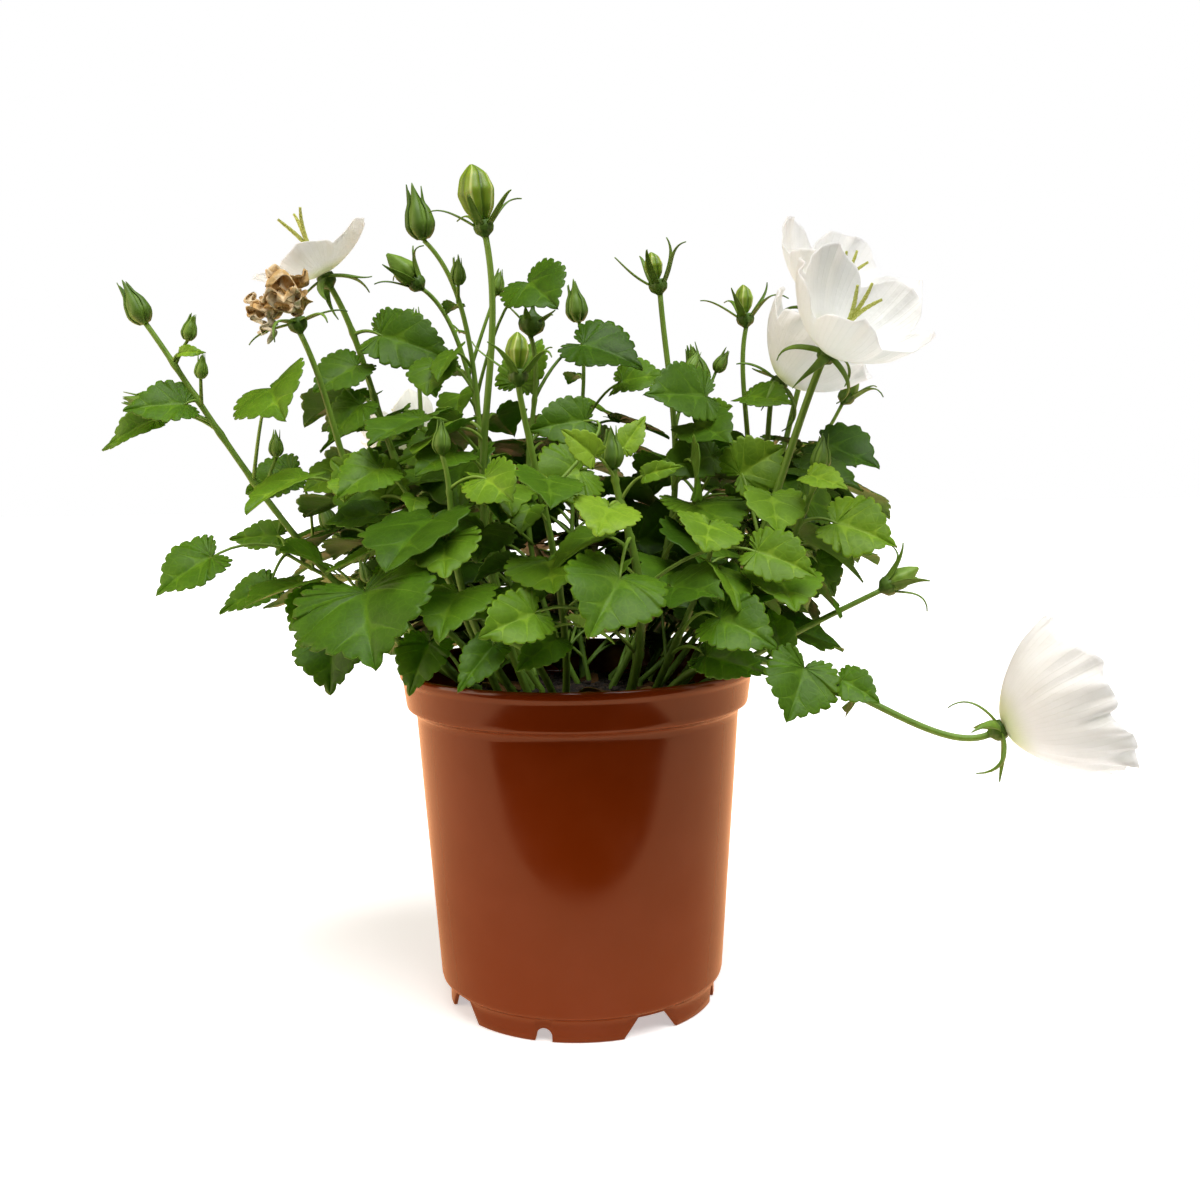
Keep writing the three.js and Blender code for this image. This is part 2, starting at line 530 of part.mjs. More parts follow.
// A stem with its head: a tapered tube that starts upright in its hole, follows its route, and
// swells into a closed bud, or into a calyx with five sepals.
function stemSolid(plant) {
  const { route, radii, head, reach, frame } = plant;
  const skin = new Skin();
  const points = [route[0].clone().setZ(CROWN_HEIGHT - ROOT_DEPTH), route[0]];
  const sizes = [radii[0], radii[0]];
  for (let i = 1; i <= STEM_STEPS; i++) {
    points.push(routePoint(route, i / STEM_STEPS));
    sizes.push(mix(radii[0], radii[1], i / STEM_STEPS));
  }
  const made = tubeRings(points, sizes, STEM_SIDES).map((ring) => skin.ring(ring));
  skin.cap(made[0], true);
  for (let i = 0; i + 1 < made.length; i++) skin.band(made[i], made[i + 1]);
  const top = made.at(-1);
  const start = skin.points[top[0]].clone().sub(route[3]);
  if (head === "none") skin.cap(top);
  else if (head === "bud") growBud(skin, top, route[3], reach, start);
  else growCalyx(skin, top, plant, frame, start);
  return skin.solid();
}

// The frame round an axis whose rings follow on from a ring that starts in a given direction.
function frameFrom(axis, start) {
  const forward = axis.clone().normalize();
  const side = start.clone().addScaledVector(forward, -start.dot(forward)).normalize();
  return { forward, side, across: forward.clone().cross(side) };
}

const ringAround = (origin, frame, radius, height, sides) =>
  Array.from({ length: sides }, (_, j) => around(origin, frame, radius, (j / sides) * 2 * Math.PI, height));

// A blade that sprouts from a side quad, at a turn round an axis. For each place (out from the
// axis, up along it) it has four corners, of a width and a thickness, and its end is narrower.
function spike(skin, quad, { origin, frame, turn }, places, { width, thickness }) {
  const along = sum([frame.side, -Math.sin(turn)], [frame.across, Math.cos(turn)]);
  const spots = places.map(([out, up]) => around(origin, frame, out, turn, up));
  const list = spots.map((spot, i) => {
    const path = spot.clone().sub(spots[i - 1] ?? origin);
    const over = path.cross(along).normalize();
    const [narrower, thinner] = i + 1 === spots.length ? SPIKE_END : [1, 1];
    const w = (width * narrower) / 2;
    const h = (thickness * thinner) / 2;
    return [[-w, -h], [w, -h], [w, h], [-w, h]].map(([x, y]) => sum([spot, 1], [along, x], [over, y]));
  });
  skin.sprout(quad, list);
}

// A closed green bud on top of a ring, wrapped in its sepals, whose tips stand apart.
function growBud(skin, ring, foot, top, start) {
  const length = foot.distanceTo(top);
  const frame = frameFrom(top.clone().sub(foot), start);
  const sides = ring.length;
  const list = BUD_RINGS.map(([height, radius]) =>
    skin.ring(ringAround(foot, frame, radius * length, height * length, sides)),
  );
  skin.band(ring, list[0]);
  skin.band(list[0], list[1]);
  skin.band(list[1], list[2], true).forEach((quad, j) => {
    const turn = ((j + 0.5) / sides) * 2 * Math.PI;
    const tip = BUD_TIP.map((share) => share * length);
    const thick = BUD_TIP_THICKNESS * length;
    if (j % 2) skin.quad(...quad);
    else spike(skin, quad, { origin: foot, frame, turn }, [tip], { width: thick, thickness: thick });
  });
  skin.band(list[2], list[3]);
  skin.cap(list[3]);
}

// A calyx on top of a stem: a round green cup, with five long sepals from its rim.
function growCalyx(skin, ring, { route, head, reach }, frame, start) {
  const shape = bloomShapes[head];
  const { spread, length, swelling = 1 } = shape
    ? { spread: shape.sepalSpread, ...sepalShapes.bloom }
    : sepalShapes[head];
  const turned = frameFrom(frame.forward, start);
  const origin = route[3];
  const heights = [[CALYX.waist, 0.3], [CALYX.radius, 0.62], [CALYX.rim, 1]];
  const list = heights.map(([radius, share]) =>
    skin.ring(ringAround(origin, turned, radius * swelling, share * CALYX.depth * swelling, ring.length)),
  );
  skin.band(ring, list[0]);
  skin.band(list[0], list[1]);
  const bend = mix(...SEPAL.bends, spread);
  skin.band(list[1], list[2], true).forEach((quad, j) => {
    const turn = ((j + 0.5) / ring.length) * 2 * Math.PI;
    const places = (shape ? [0.5, 1] : [1]).map((k) => {
      const angle = shape ? bend + SEPAL.curl * (k - 0.5) : bend;
      const out = CALYX.rim * 0.85 * swelling + k * length * Math.sin(angle);
      return [out, CALYX.depth * 0.8 * swelling + k * length * Math.cos(angle)];
    });
    spike(skin, quad, { origin, frame: turned, turn }, places, SEPAL);
  });
  if (head === "openingBud") growTip(skin, list[2], origin, turned, origin.distanceTo(reach));
  else skin.cap(list[2]);
}

// The pointed green bud that stands in an opening calyx.
function growTip(skin, ring, origin, frame, length) {
  const last = OPENING_RINGS.reduce((lower, [height, radius]) => {
    const upper = skin.ring(ringAround(origin, frame, radius * length, height * length, ring.length));
    skin.band(lower, upper);
    return upper;
  }, ring);
  skin.cap(last);
}

// One side of a heart-shaped blade, for a blade one unit long: two cubic curves that meet at the
// widest place. It runs from the notch at the stalk (0) round the lobe to the tip (1).
const lobeCurve = new THREE.CubicBezierCurve(
  new THREE.Vector2(0, 0),
  new THREE.Vector2(0.06, -0.34),
  new THREE.Vector2(0.6, -0.36),
  new THREE.Vector2(0.6, 0.1),
);
const tipCurve = new THREE.CubicBezierCurve(
  new THREE.Vector2(0.6, 0.1),
  new THREE.Vector2(0.6, 0.48),
  new THREE.Vector2(0.22, 0.74),
  new THREE.Vector2(0, 1),
);

// A point of the toothed outline. Every other point stands out from the blade's centre or in.
function outlinePoint(step, steps, width) {
  const s = step / steps;
  const p = s < 0.5 ? lobeCurve.getPoint(2 * s) : tipCurve.getPoint(2 * s - 1);
  const tooth = step === steps ? 1 : 1 + (step % 2 ? TOOTH : -TOOTH);
  const y = p.y < 0 ? p.y * Math.min(1, width) : p.y;
  return [p.x * width * tooth, step === 0 ? 0 : BLADE_CENTRE + (y - BLADE_CENTRE) * tooth];
}

// How far a blade stands off its flat plane: folded up from the midrib, and arched along it.
const bladeLift = (x, y) => 0.3 * Math.abs(x) - 0.25 * x * x + 0.18 * y * (1 - y);

// Maps a blade's own coordinates, in blade lengths, to space.
function bladeFrame({ base, tip, facing }) {
  const length = base.distanceTo(tip);
  const forward = tip.clone().sub(base).normalize();
  const normal = facing.clone().addScaledVector(forward, -facing.dot(forward)).normalize();
  const side = forward.clone().cross(normal);
  return (x, y, lift) =>
    sum([base, 1], [side, x * length], [forward, y * length], [normal, bladeLift(x, y) * length + lift]);
}

// The outline of a blade, all the way round from one side of the notch to the other, in the
// blade's own coordinates.
function bladeOutline({ base, tip, width }) {
  const length = base.distanceTo(tip);
  const steps = length > 27 ? 8 : length > 13 ? 6 : 5;
  const right = Array.from({ length: steps + 1 }, (_, i) => outlinePoint(i, steps, width));
  right[0] = [STALK.radius / length, 0];
  const left = right.slice(0, -1).reverse().map(([x, y]) => [-x, y]);
  return [...right, ...left];
}

// A leaf: a toothed blade, cut like a fan round its centre and alike on both faces, and its stalk,
// which sprouts from the edge between the two sides of the notch.
function leafSolid(leaf) {
  const place = bladeFrame(leaf);
  const outline = [[0, BLADE_CENTRE], ...bladeOutline(leaf)];
  const skin = new Skin();
  const [top, under] = [BLADE_THICKNESS / 2, -BLADE_THICKNESS / 2].map((lift) =>
    skin.ring(outline.map(([x, y]) => place(x, y, lift))),
  );
  const last = outline.length - 1;
  for (let i = 1; i <= last; i++) {
    const next = (i % last) + 1;
    skin.triangles.push([top[0], top[i], top[next]], [under[0], under[next], under[i]]);
    if (i < last) skin.quad(top[i], under[i], under[next], top[next]);
  }
  skin.sprout([top[last], under[last], under[1], top[1]], stalkRings(leaf));
  return skin.solid();
}

// The corners of the stalk's sections, from the blade down into the stem.
function stalkRings(leaf) {
  const { attach, bend } = stalkPoints(leaf);
  const forward = leaf.tip.clone().sub(leaf.base).normalize();
  const side = forward.clone().cross(leaf.facing).normalize();
  const straight = [[attach, leaf.base, attach]];
  const bent = [[bend, leaf.base, bend], [attach, bend, attach]];
  const isShort = attach.distanceTo(leaf.base) < STALK.straightBelow;
  return (isShort ? straight : bent).map(([spot, from, to]) => {
    const path = from.clone().sub(to).normalize();
    const level = side.clone().addScaledVector(path, -side.dot(path)).normalize();
    const over = level.clone().cross(path);
    const r = STALK.radius;
    return [[-r, r], [-r, -r], [r, -r], [r, r]].map(([x, y]) => sum([spot, 1], [level, x], [over, y]));
  });
}

// A leaf's stalk: from the stem's middle to a bend, and on into the blade's notch. The bend lies
// a little above the straight way, and behind the blade.
function stalkPoints({ attach, base, tip }) {
  const forward = tip.clone().sub(base).normalize();
  const bend = sum([attach, 0.45], [base, 0.55], [UP, STALK.arch * attach.distanceTo(base)]);
  const ahead = bend.clone().sub(base).dot(forward);
  if (ahead > -STALK.setback) bend.addScaledVector(forward, -STALK.setback - ahead);
  return { attach, bend };
}

// The petals of a bloom, joined in a cup with five pointed lobes. Along a petal the radius grows
// as the sine of a quarter turn, and the height as a power, so the cup is round below and flares.
function petalPoint(shape, turn, share, inward) {
  const lobe = Math.abs((((turn * 5) / (2 * Math.PI)) % 1) - 0.5) * 2;
  const edge = 1 - shape.parting * (1 - lobe) ** PETAL.sharpness;
  const u = edge * share;
  const radius = shape.radius * mix(Math.sin((u * Math.PI) / 2) ** PETAL.round, 1, PETAL.base);
  const height = shape.depth * u ** PETAL.rise;
  return [radius - inward, height + inward * (1 - u)];
}

function petalSolid(origin, frame, shape) {
  const base = origin.clone().addScaledVector(frame.forward, CALYX.depth + GAP);
  const ring = (share, inward) =>
    Array.from({ length: BLOOM_SIDES }, (_, j) => {
      const turn = (j / BLOOM_SIDES) * 2 * Math.PI;
      const [radius, height] = petalPoint(shape, turn, share, inward);
      return around(base, frame, radius, turn + THREE.MathUtils.degToRad(shape.turn), height);
    });
  const steps = Array.from({ length: BLOOM_STEPS + 1 }, (_, i) => i / BLOOM_STEPS);
  const outer = steps.map((share) => ring(share, 0));
  const inner = steps.map((share) => ring(share, PETAL.thickness)).reverse();
  return rings([...outer, ...inner]);
}

// The style: a slim column that parts in three stigmas.
function styleSolid(origin, frame, { depth }) {
  const start = CALYX.depth + 2 * GAP + PETAL.thickness;
  const column = Math.max(STYLE.column, depth * 0.45);
  const skin = new Skin();
  const heights = [start, start + column - 2, start + column];
  const list = heights.map((height) => skin.ring(ringAround(origin, frame, STYLE.radius, height, 3)));
  skin.cap(list[0], true);
  skin.band(list[0], list[1]);
  skin.band(list[1], list[2], true).forEach((quad, j) => {
    const turn = ((j + 0.5) / 3) * 2 * Math.PI;
    const places = [[0.4, 0.5], [1, 1]].map(([out, up]) => [
      STYLE.radius + out * STYLE.spread,
      start + column + up * STYLE.stigma,
    ]);
    spike(skin, quad, { origin, frame, turn }, places, STIGMA);
  });
  skin.cap(list[2]);
  return skin.solid();
}

// A bud about to open: lime petals folded in five ribs, over the calyx.
function limeBudSolid(origin, frame, length) {
  const start = CALYX.depth + GAP;
  const { sides, rib } = LIME_BUD;
  const list = LIME_BUD.rings.map(([height, radius]) =>
    Array.from({ length: sides }, (_, j) => {
      const ribbed = radius * (length - start) * (1 + (j % 2 ? rib : -rib));
      return around(origin, frame, ribbed, (j / sides) * 2 * Math.PI, mix(start, length, height));
    }),
  );
  return rings(list);
}

// The withered petals: two crumpled lumps, one fallen over the calyx's edge.
function witheredSolid(origin, frame) {
  const draw = seeded(11);
  const lumps = [
    { radius: 8.6, squash: [1.05, 0.85, 1.05], from: [-6, 0, 14] },
    { radius: 5.4, squash: [1, 0.7, 1.2], from: [-13, 4.5, 7] },
  ];
  const parts = lumps.map(({ radius, squash, from }) => {
    const ball = new THREE.BufferGeometry();
    ball.setAttribute("position", new THREE.IcosahedronGeometry(radius, 1).getAttribute("position"));
    const merged = mergeVertices(ball, 1e-3);
    const position = merged.getAttribute("position");
    for (let i = 0; i < position.count; i++) {
      const crumple = 0.8 + 0.35 * draw();
      const [x, y, z] = squash.map((k, axis) => position.getComponent(i, axis) * k * crumple);
      position.setXYZ(i, x, y, z);
    }
    return solid(merged).translate([origin.x + from[0], origin.y + from[1], origin.z + from[2]]);
  });
  const below = sum([origin, 1], [frame.forward, -14]);
  const rim = sum([origin, 1], [frame.forward, CALYX.depth + GAP]);
  return largest(joined(parts).subtract(tube([below, rim], [9.5, 6], 12)));
}

// The stems as growing plants: routes as vectors, and the frame of each head.
const plants = stems.map((stem, index) => {
  const route = stem.route.map(vector);
  const reach = stem.reach && vector(stem.reach);
  const frame = reach && frameAlong(reach.clone().sub(route[3]));
  return { ...stem, index, route, reach, frame, leafList: [] };
});
const plantNamed = (name) => plants.find((plant) => plant.name === name);

// A leaf that faces the viewer, outwards and up, as leaves on the plant's front do.
function namedLeaf([stem, place, base, tip, width]) {
  const plant = plantNamed(stem);
  const from = vector(base);
  const outward = new THREE.Vector3(from.x, from.y, 0).normalize();
  const facing = sum([outward, 0.3], [VIEWER, 0.75], [UP, 0.5]).normalize();
  plant.leafList.push({ attach: stemPoint(plant.route, place), base: from, tip: vector(tip), facing, width });
}

// What is already taken up in space: balls that belong to a stem.
const taken = [];
const take = (points, radius, owner) => points.forEach((p) => taken.push({ p, radius, owner }));
const ROOM_AT_RIM = 3;
const RIM_INSIDE = 50;
const REAR_LIMIT = 87;
const HEAD_ROOM = 0.6;
const SIDE_BUD_ROOM = 7;
const OWN_ROOM = { blade: 2.2, stalk: 1.2 };

function leafBalls(leaf) {
  const place = bladeFrame(leaf);
  const outline = bladeOutline(leaf);
  const blade = [
    place(0, BLADE_CENTRE, 0),
    ...outline.map(([x, y]) => place(x, y, 0)),
    ...outline.map(([x, y]) => place(0.55 * x, BLADE_CENTRE + 0.55 * (y - BLADE_CENTRE), 0)),
  ];
  const { attach, bend } = stalkPoints(leaf);
  const stalk = [0.4, 0.7, 1].map((k) => sum([attach, 1 - k], [bend, k]));
  stalk.push(...[0.35, 0.7].map((k) => sum([bend, 1 - k], [leaf.base, k])));
  return { blade, stalk, room: 0.085 * leaf.base.distanceTo(leaf.tip) + 0.5 };
}

function takeLeaf(leaf, owner) {
  const { blade, stalk, room } = leafBalls(leaf);
  take(blade, room, owner);
  take(stalk, 1, owner);
}

// Whether points keep clear of the pot, the soil and everything taken, by their own room.
function isClear(points, room, owner, ownRoom) {
  const meets = points.some((p) => {
    const fromAxis = Math.hypot(p.x, p.y);
    if (p.y > REAR_LIMIT) return true;
    if (p.z < CROWN_HEIGHT + room && fromAxis < RIM_RADIUS) return true;
    const isOverRim = fromAxis < RIM_RADIUS + ROOM_AT_RIM && fromAxis > RIM_INSIDE;
    if (p.z < POT_HEIGHT + room && isOverRim) return true;
    return taken.some((ball) => {
      const limit = ball.owner === owner ? ownRoom : room + ball.radius;
      return ball.p.distanceTo(p) < limit;
    });
  });
  return !meets;
}

// A leaf that grows by rule: in turn round the stem by the golden angle, out from the pot's axis,
// smaller towards the tip. Where its place is taken it turns, or its stalk is longer or shorter.
const TURNS = [0, 0.5, -0.5, 1, -1, 1.6, -1.6, 2.4];
const STALKS = [1, 1.45, 0.7];
const STEM_TURN = 1.9;

function grownLeaf(plant, step, draw) {
  const [count, from, to] = plant.leaves;
  const place = mix(from, to, (step + 0.5) / count);
  const attach = stemPoint(plant.route, place);
  const length = mix(30, 15, place) * (0.85 + 0.3 * draw());
  const heading = plant.index * STEM_TURN + step * GOLDEN_ANGLE;
  const away = Math.atan2(attach.y, attach.x);
  for (const stalkShare of STALKS)
    for (const turn of TURNS) {
      const round = heading + turn;
      const level = sum([levelAt(round), 1], [levelAt(away), 1]).normalize();
      const stalk = length * (1.15 - 0.6 * place) * stalkShare;
      const base = sum([attach, 1], [level, stalk * 0.85], [UP, stalk * 0.4]);
      const tip = sum([base, 1], [level, length * 0.9], [UP, -length * 0.35]);
      const facing = sum([level, 0.45], [UP, 0.9]).normalize();
      const leaf = { attach, base, tip, facing, width: mix(0.95, 0.7, place) };
      const { blade, stalk: stalkBalls, room } = leafBalls(leaf);
      const bladeFree = isClear(blade, room, plant.index, OWN_ROOM.blade);
      if (bladeFree && isClear(stalkBalls.slice(1), 1, plant.index, OWN_ROOM.stalk)) return leaf;
    }
  return null;
}

// Everything that is placed by hand takes its room first, and the leaves by rule fill the rest.
function growLeaves() {
  namedLeaves.forEach(namedLeaf);
  plants.forEach((plant) => {
    const steps = Array.from({ length: 32 }, (_, i) => stemPoint(plant.route, (i + 1) / 32));
    take(steps, plant.radii[0] + 0.4, plant.index);
    plant.leafList.forEach((leaf) => takeLeaf(leaf, plant.index));
    const shape = bloomShapes[plant.head];
    if (shape) {
      const ahead = CALYX.depth + shape.depth * HEAD_ROOM;
      const middle = plant.route[3].clone().addScaledVector(plant.frame.forward, ahead);
      take([middle], Math.max(shape.radius, shape.depth * HEAD_ROOM), plant.index);
    } else if (plant.reach) {
      const middle = sum([plant.route[3], 0.5], [plant.reach, 0.5]);
      take([middle], plant.route[3].distanceTo(plant.reach) * HEAD_ROOM, plant.index);
    }
  });
  sideBuds.forEach(([stem, , foot, top]) => {
    take([sum([vector(foot), 0.5], [vector(top), 0.5])], SIDE_BUD_ROOM, plantNamed(stem).index);
  });
  const draw = seeded(7);
  plants.forEach((plant) => {
    for (let step = 0; step < plant.leaves[0]; step++) {
      const leaf = grownLeaf(plant, step, draw);
      if (!leaf) continue;
      plant.leafList.push(leaf);
      takeLeaf(leaf, plant.index);
    }
  });
}

// A small bud on a stalk of its own, with the stalk's foot in the stem.
function sideBudSolid([stem, place, foot, top]) {
  const attach = stemPoint(plantNamed(stem).route, place);
  const from = vector(foot);
  const skin = new Skin();
  const points = [attach, sum([attach, 0.5], [from, 0.5], [UP, 0.5]), from];
  const made = tubeRings(points, [0.6, 0.55, 0.55], 4).map((ring) => skin.ring(ring));
  skin.cap(made[0], true);
  for (let i = 0; i < 2; i++) skin.band(made[i], made[i + 1]);
  growBud(skin, made[2], from, vector(top), skin.points[made[2][0]].clone().sub(from));
  return skin.solid();
}

// The assembly
growLeaves();
const plantGroup = new THREE.Group();
plantGroup.name = "potted_bellflower";
plantGroup.add(mesh("pot", potSolid(), colours.pot));
plantGroup.add(mesh("soil", soilSolid(), colours.soil));

for (const plant of plants) {
  const { name, head, frame } = plant;
  const origin = plant.route[3];
  const buds = sideBuds.filter(([stem]) => stem === name).map(sideBudSolid);
  const green = joined([stemSolid(plant), ...plant.leafList.map(leafSolid), ...buds]);
  plantGroup.add(mesh(`stem_${name}`, largest(green), colours.foliage));
  const shape = bloomShapes[head];
  if (shape) {
    plantGroup.add(mesh(`petals_${name}`, petalSolid(origin, frame, shape), colours.petal));
    plantGroup.add(mesh(`style_${name}`, styleSolid(origin, frame, shape), colours.style));
  }
  if (head === "limeBud") {
    const length = origin.distanceTo(plant.reach);
    plantGroup.add(mesh(`bud_${name}`, limeBudSolid(origin, frame, length), colours.limeBud));
  }
  if (head === "withered") {
    plantGroup.add(mesh(`petals_${name}`, witheredSolid(origin, frame), colours.withered));
  }
}

export default plantGroup;
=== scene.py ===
# %% [markdown]
# # A Carpathian bellflower in its nursery pot
#
# The plant is a clump of thin leafy stems that stand in compost. White cup blooms open at their
# tips, the pot is moulded plastic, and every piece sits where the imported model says. The numbers
# below are millimetres, and the last step turns them into metres.

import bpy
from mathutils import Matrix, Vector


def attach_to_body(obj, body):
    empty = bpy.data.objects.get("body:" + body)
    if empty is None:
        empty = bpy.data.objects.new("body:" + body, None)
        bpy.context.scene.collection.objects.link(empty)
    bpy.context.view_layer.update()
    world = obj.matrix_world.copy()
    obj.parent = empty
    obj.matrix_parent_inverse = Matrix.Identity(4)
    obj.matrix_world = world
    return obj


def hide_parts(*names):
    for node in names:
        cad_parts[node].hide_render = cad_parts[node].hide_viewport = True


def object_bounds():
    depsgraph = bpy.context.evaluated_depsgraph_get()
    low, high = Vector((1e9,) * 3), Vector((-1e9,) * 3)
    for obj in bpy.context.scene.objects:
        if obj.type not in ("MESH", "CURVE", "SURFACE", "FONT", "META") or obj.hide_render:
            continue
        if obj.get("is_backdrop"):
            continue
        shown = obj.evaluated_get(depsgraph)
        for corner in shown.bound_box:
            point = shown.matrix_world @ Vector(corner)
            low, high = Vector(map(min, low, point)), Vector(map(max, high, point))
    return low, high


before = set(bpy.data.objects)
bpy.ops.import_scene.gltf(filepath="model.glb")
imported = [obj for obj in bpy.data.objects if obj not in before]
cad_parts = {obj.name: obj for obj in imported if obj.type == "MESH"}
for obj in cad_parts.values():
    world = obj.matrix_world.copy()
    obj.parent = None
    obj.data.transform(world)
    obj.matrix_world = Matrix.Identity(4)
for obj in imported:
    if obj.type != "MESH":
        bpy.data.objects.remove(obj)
cad_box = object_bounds()
print("nodes:", len(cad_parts), "box:", [list(map(float, corner)) for corner in cad_box])

# %% Tools
import math

import bmesh
import bpy
import numpy as np
from mathutils import Matrix

MM = 0.001
UP = np.array([0.0, 0.0, 1.0])
print("Blender", bpy.app.version_string)

# %% [markdown]
# ## The camera
#
# The picture was taken from just above the leaves, a little to the left of the pot's axis. A
# camera is a matrix of three directions: right, up and backwards. Building it from those
# directions keeps the small tilt of a camera held in the hand.

# %% Camera
CAMERA_AT = (0.0, -460.0, 186.5)
YAW, PITCH, ROLL = 0.0178, 0.109, -0.016
FOCAL_SHARE = 1363.5 / 1200
SENSOR = 36.0

ahead = np.array([math.sin(YAW), math.cos(YAW), 0.0])
forward = ahead * math.cos(PITCH) - UP * math.sin(PITCH)
level = np.array([math.cos(YAW), -math.sin(YAW), 0.0])
above = ahead * math.sin(PITCH) + UP * math.cos(PITCH)
right = math.cos(ROLL) * level + math.sin(ROLL) * above
above = math.cos(ROLL) * above - math.sin(ROLL) * level

camera_data = bpy.data.cameras.new("camera")
camera_data.sensor_width = SENSOR
camera_data.lens = SENSOR * FOCAL_SHARE
camera_data.clip_start = 0.02
camera_data.clip_end = 20
camera = bpy.data.objects.new("camera", camera_data)
turned = np.eye(4)
turned[:3, :3] = np.column_stack([right, above, -forward])
turned[:3, 3] = np.array(CAMERA_AT) * MM
camera.matrix_world = Matrix(turned.tolist())
bpy.context.scene.collection.objects.link(camera)
bpy.context.scene.camera = camera
print("lens", round(camera_data.lens, 1), "mm")

# %% [markdown]
# ## Finishes
#
# A finish is a small graph of nodes that ends in one shader. It could be drawn by hand in the
# shader editor. Here one function adds each node and hands back its output, so that a graph reads
# from top to bottom like a sum, and can be made again. Colours are given as the usual hex values
# of a screen, and one function turns them to the linear numbers that light needs.


# %% Helpers for finishes
def colour(code):
    """A hex colour as linear red, green, blue and alpha: each channel goes through the sRGB curve."""
    channels = np.array([int(code[i : i + 2], 16) for i in (1, 3, 5)]) / 255
    linear = np.where(channels <= 0.04045, channels / 12.92, ((channels + 0.055) / 1.055) ** 2.4)
    return (*linear.tolist(), 1.0)


def fill(owner, node, inputs):
    """Fills a node's inputs: a socket is linked to it, and anything else is the input's own value."""
    for key, value in inputs.items():
        if isinstance(value, bpy.types.NodeSocket):
            owner.node_tree.links.new(value, node.inputs[key])
        else:
            node.inputs[key].default_value = value


def add(owner, kind, inputs, output=0, stops=(), **settings):
    """Adds a node with its settings and links, and returns one of its outputs, or all for None. The
    stops are those of a colour ramp: a place and a hex colour each."""
    node = owner.node_tree.nodes.new("ShaderNode" + kind)
    for key, value in settings.items():
        setattr(node, key, value)
    for _ in stops[2:]:
        node.color_ramp.elements.new(0.5)
    for number, (place, code) in enumerate(stops):
        node.color_ramp.elements[number].position = place
        node.color_ramp.elements[number].color = colour(code)
    fill(owner, node, inputs)
    return node.outputs if output is None else node.outputs[output]


def finish(name, values):
    """A new material, and its shader with these values on its own sockets."""
    material = bpy.data.materials.new(name)
    material.use_nodes = True
    shader = material.node_tree.nodes["Principled BSDF"]
    fill(material, shader, values)
    return material, shader


def repeats(size):
    """How often a pattern of a size in millimetres repeats in a metre."""
    return 1 / (size * MM)


SMOOTH, IN_COLOUR = dict(interpolation_type="SMOOTHSTEP"), dict(data_type="RGBA")
print("middle grey, #808080, is", round(colour("#808080")[0], 3), "in linear light")

# %% [markdown]
# ## Floor and light
#
# The plant was photographed on a white sheet, in soft light from above. The sheet's front edge
# lies a hand's width in front of the pot, so the pot mirrors the sheet low down and the dim room
# above it. A wide soft sun lights the leaves from above, and a panel on each side gives the pot
# its shine. The world is dim for light, but white where the camera looks at it.

# %% Floor
FLOOR_HALF, FLOOR_FRONT, FLOOR_HEIGHT = 4.0, -0.15, -0.0002


def put(name, data):
    """Links new data to the scene as an object."""
    made = bpy.data.objects.new(name, data)
    bpy.context.scene.collection.objects.link(made)
    return made


floor_mesh = bpy.data.meshes.new("floor")
front = [(-FLOOR_HALF, FLOOR_FRONT), (FLOOR_HALF, FLOOR_FRONT)]
rear = [(FLOOR_HALF, FLOOR_HALF), (-FLOOR_HALF, FLOOR_HALF)]
floor_mesh.from_pydata([(x, y, FLOOR_HEIGHT) for x, y in front + rear], [], [(0, 1, 2, 3)])
floor = put("floor", floor_mesh)
# Matt white paper, a little lit from itself so that it burns out to white as in the picture. What
# mirrors it sees a warm sheet, which gives the pot its orange shine.
paper, paper_shader = finish("white_studio_paper", {"Roughness": 0.85, "Emission Strength": 0.48})
mirrored = add(paper, "LightPath", {}, "Is Glossy Ray")
two_sheets = {0: mirrored, 6: colour("#fdfdfc"), 7: colour("#ffb984")}
sheet = add(paper, "Mix", two_sheets, 2, **IN_COLOUR)
fill(paper, paper_shader, {"Base Color": sheet, "Emission Color": sheet})
floor_mesh.materials.append(paper)
floor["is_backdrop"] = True
print("floor from y =", FLOOR_FRONT, "to", FLOOR_HALF, "m")

# %% The room
ROOM_DARK, ROOM_LIGHT = 0.03, 0.26
world = bpy.data.worlds.new("studio")
world.use_nodes = True
bpy.context.scene.world = world
way = add(world, "TexCoord", {}, "Generated")
away_from_camera = add(world, "SeparateXYZ", {0: way}, 1)
darker_in_front = {0: away_from_camera, 1: -0.85, 2: -0.3, 3: ROOM_DARK, 4: ROOM_LIGHT}
glow = add(world, "MapRange", darker_in_front)
in_a_mirror = add(world, "LightPath", {}, "Is Glossy Ray")
two_walls = {0: in_a_mirror, 6: colour("#fffaf4"), 7: colour("#6e4526")}
wall_colour = add(world, "Mix", two_walls, 2, **IN_COLOUR)
walls = world.node_tree.nodes["Background"]
fill(world, walls, {"Color": wall_colour, "Strength": glow})
white = add(world, "Background", {"Color": colour("#ffffff"), "Strength": 1.0})
looked_at = add(world, "LightPath", {}, "Is Camera Ray")
both = add(world, "MixShader", {0: looked_at, 1: walls.outputs[0], 2: white})
fill(world, world.node_tree.nodes["World Output"], {0: both})
bpy.context.scene.view_settings.view_transform = "Standard"
print("room strength from", ROOM_DARK, "in front to", ROOM_LIGHT, "behind")


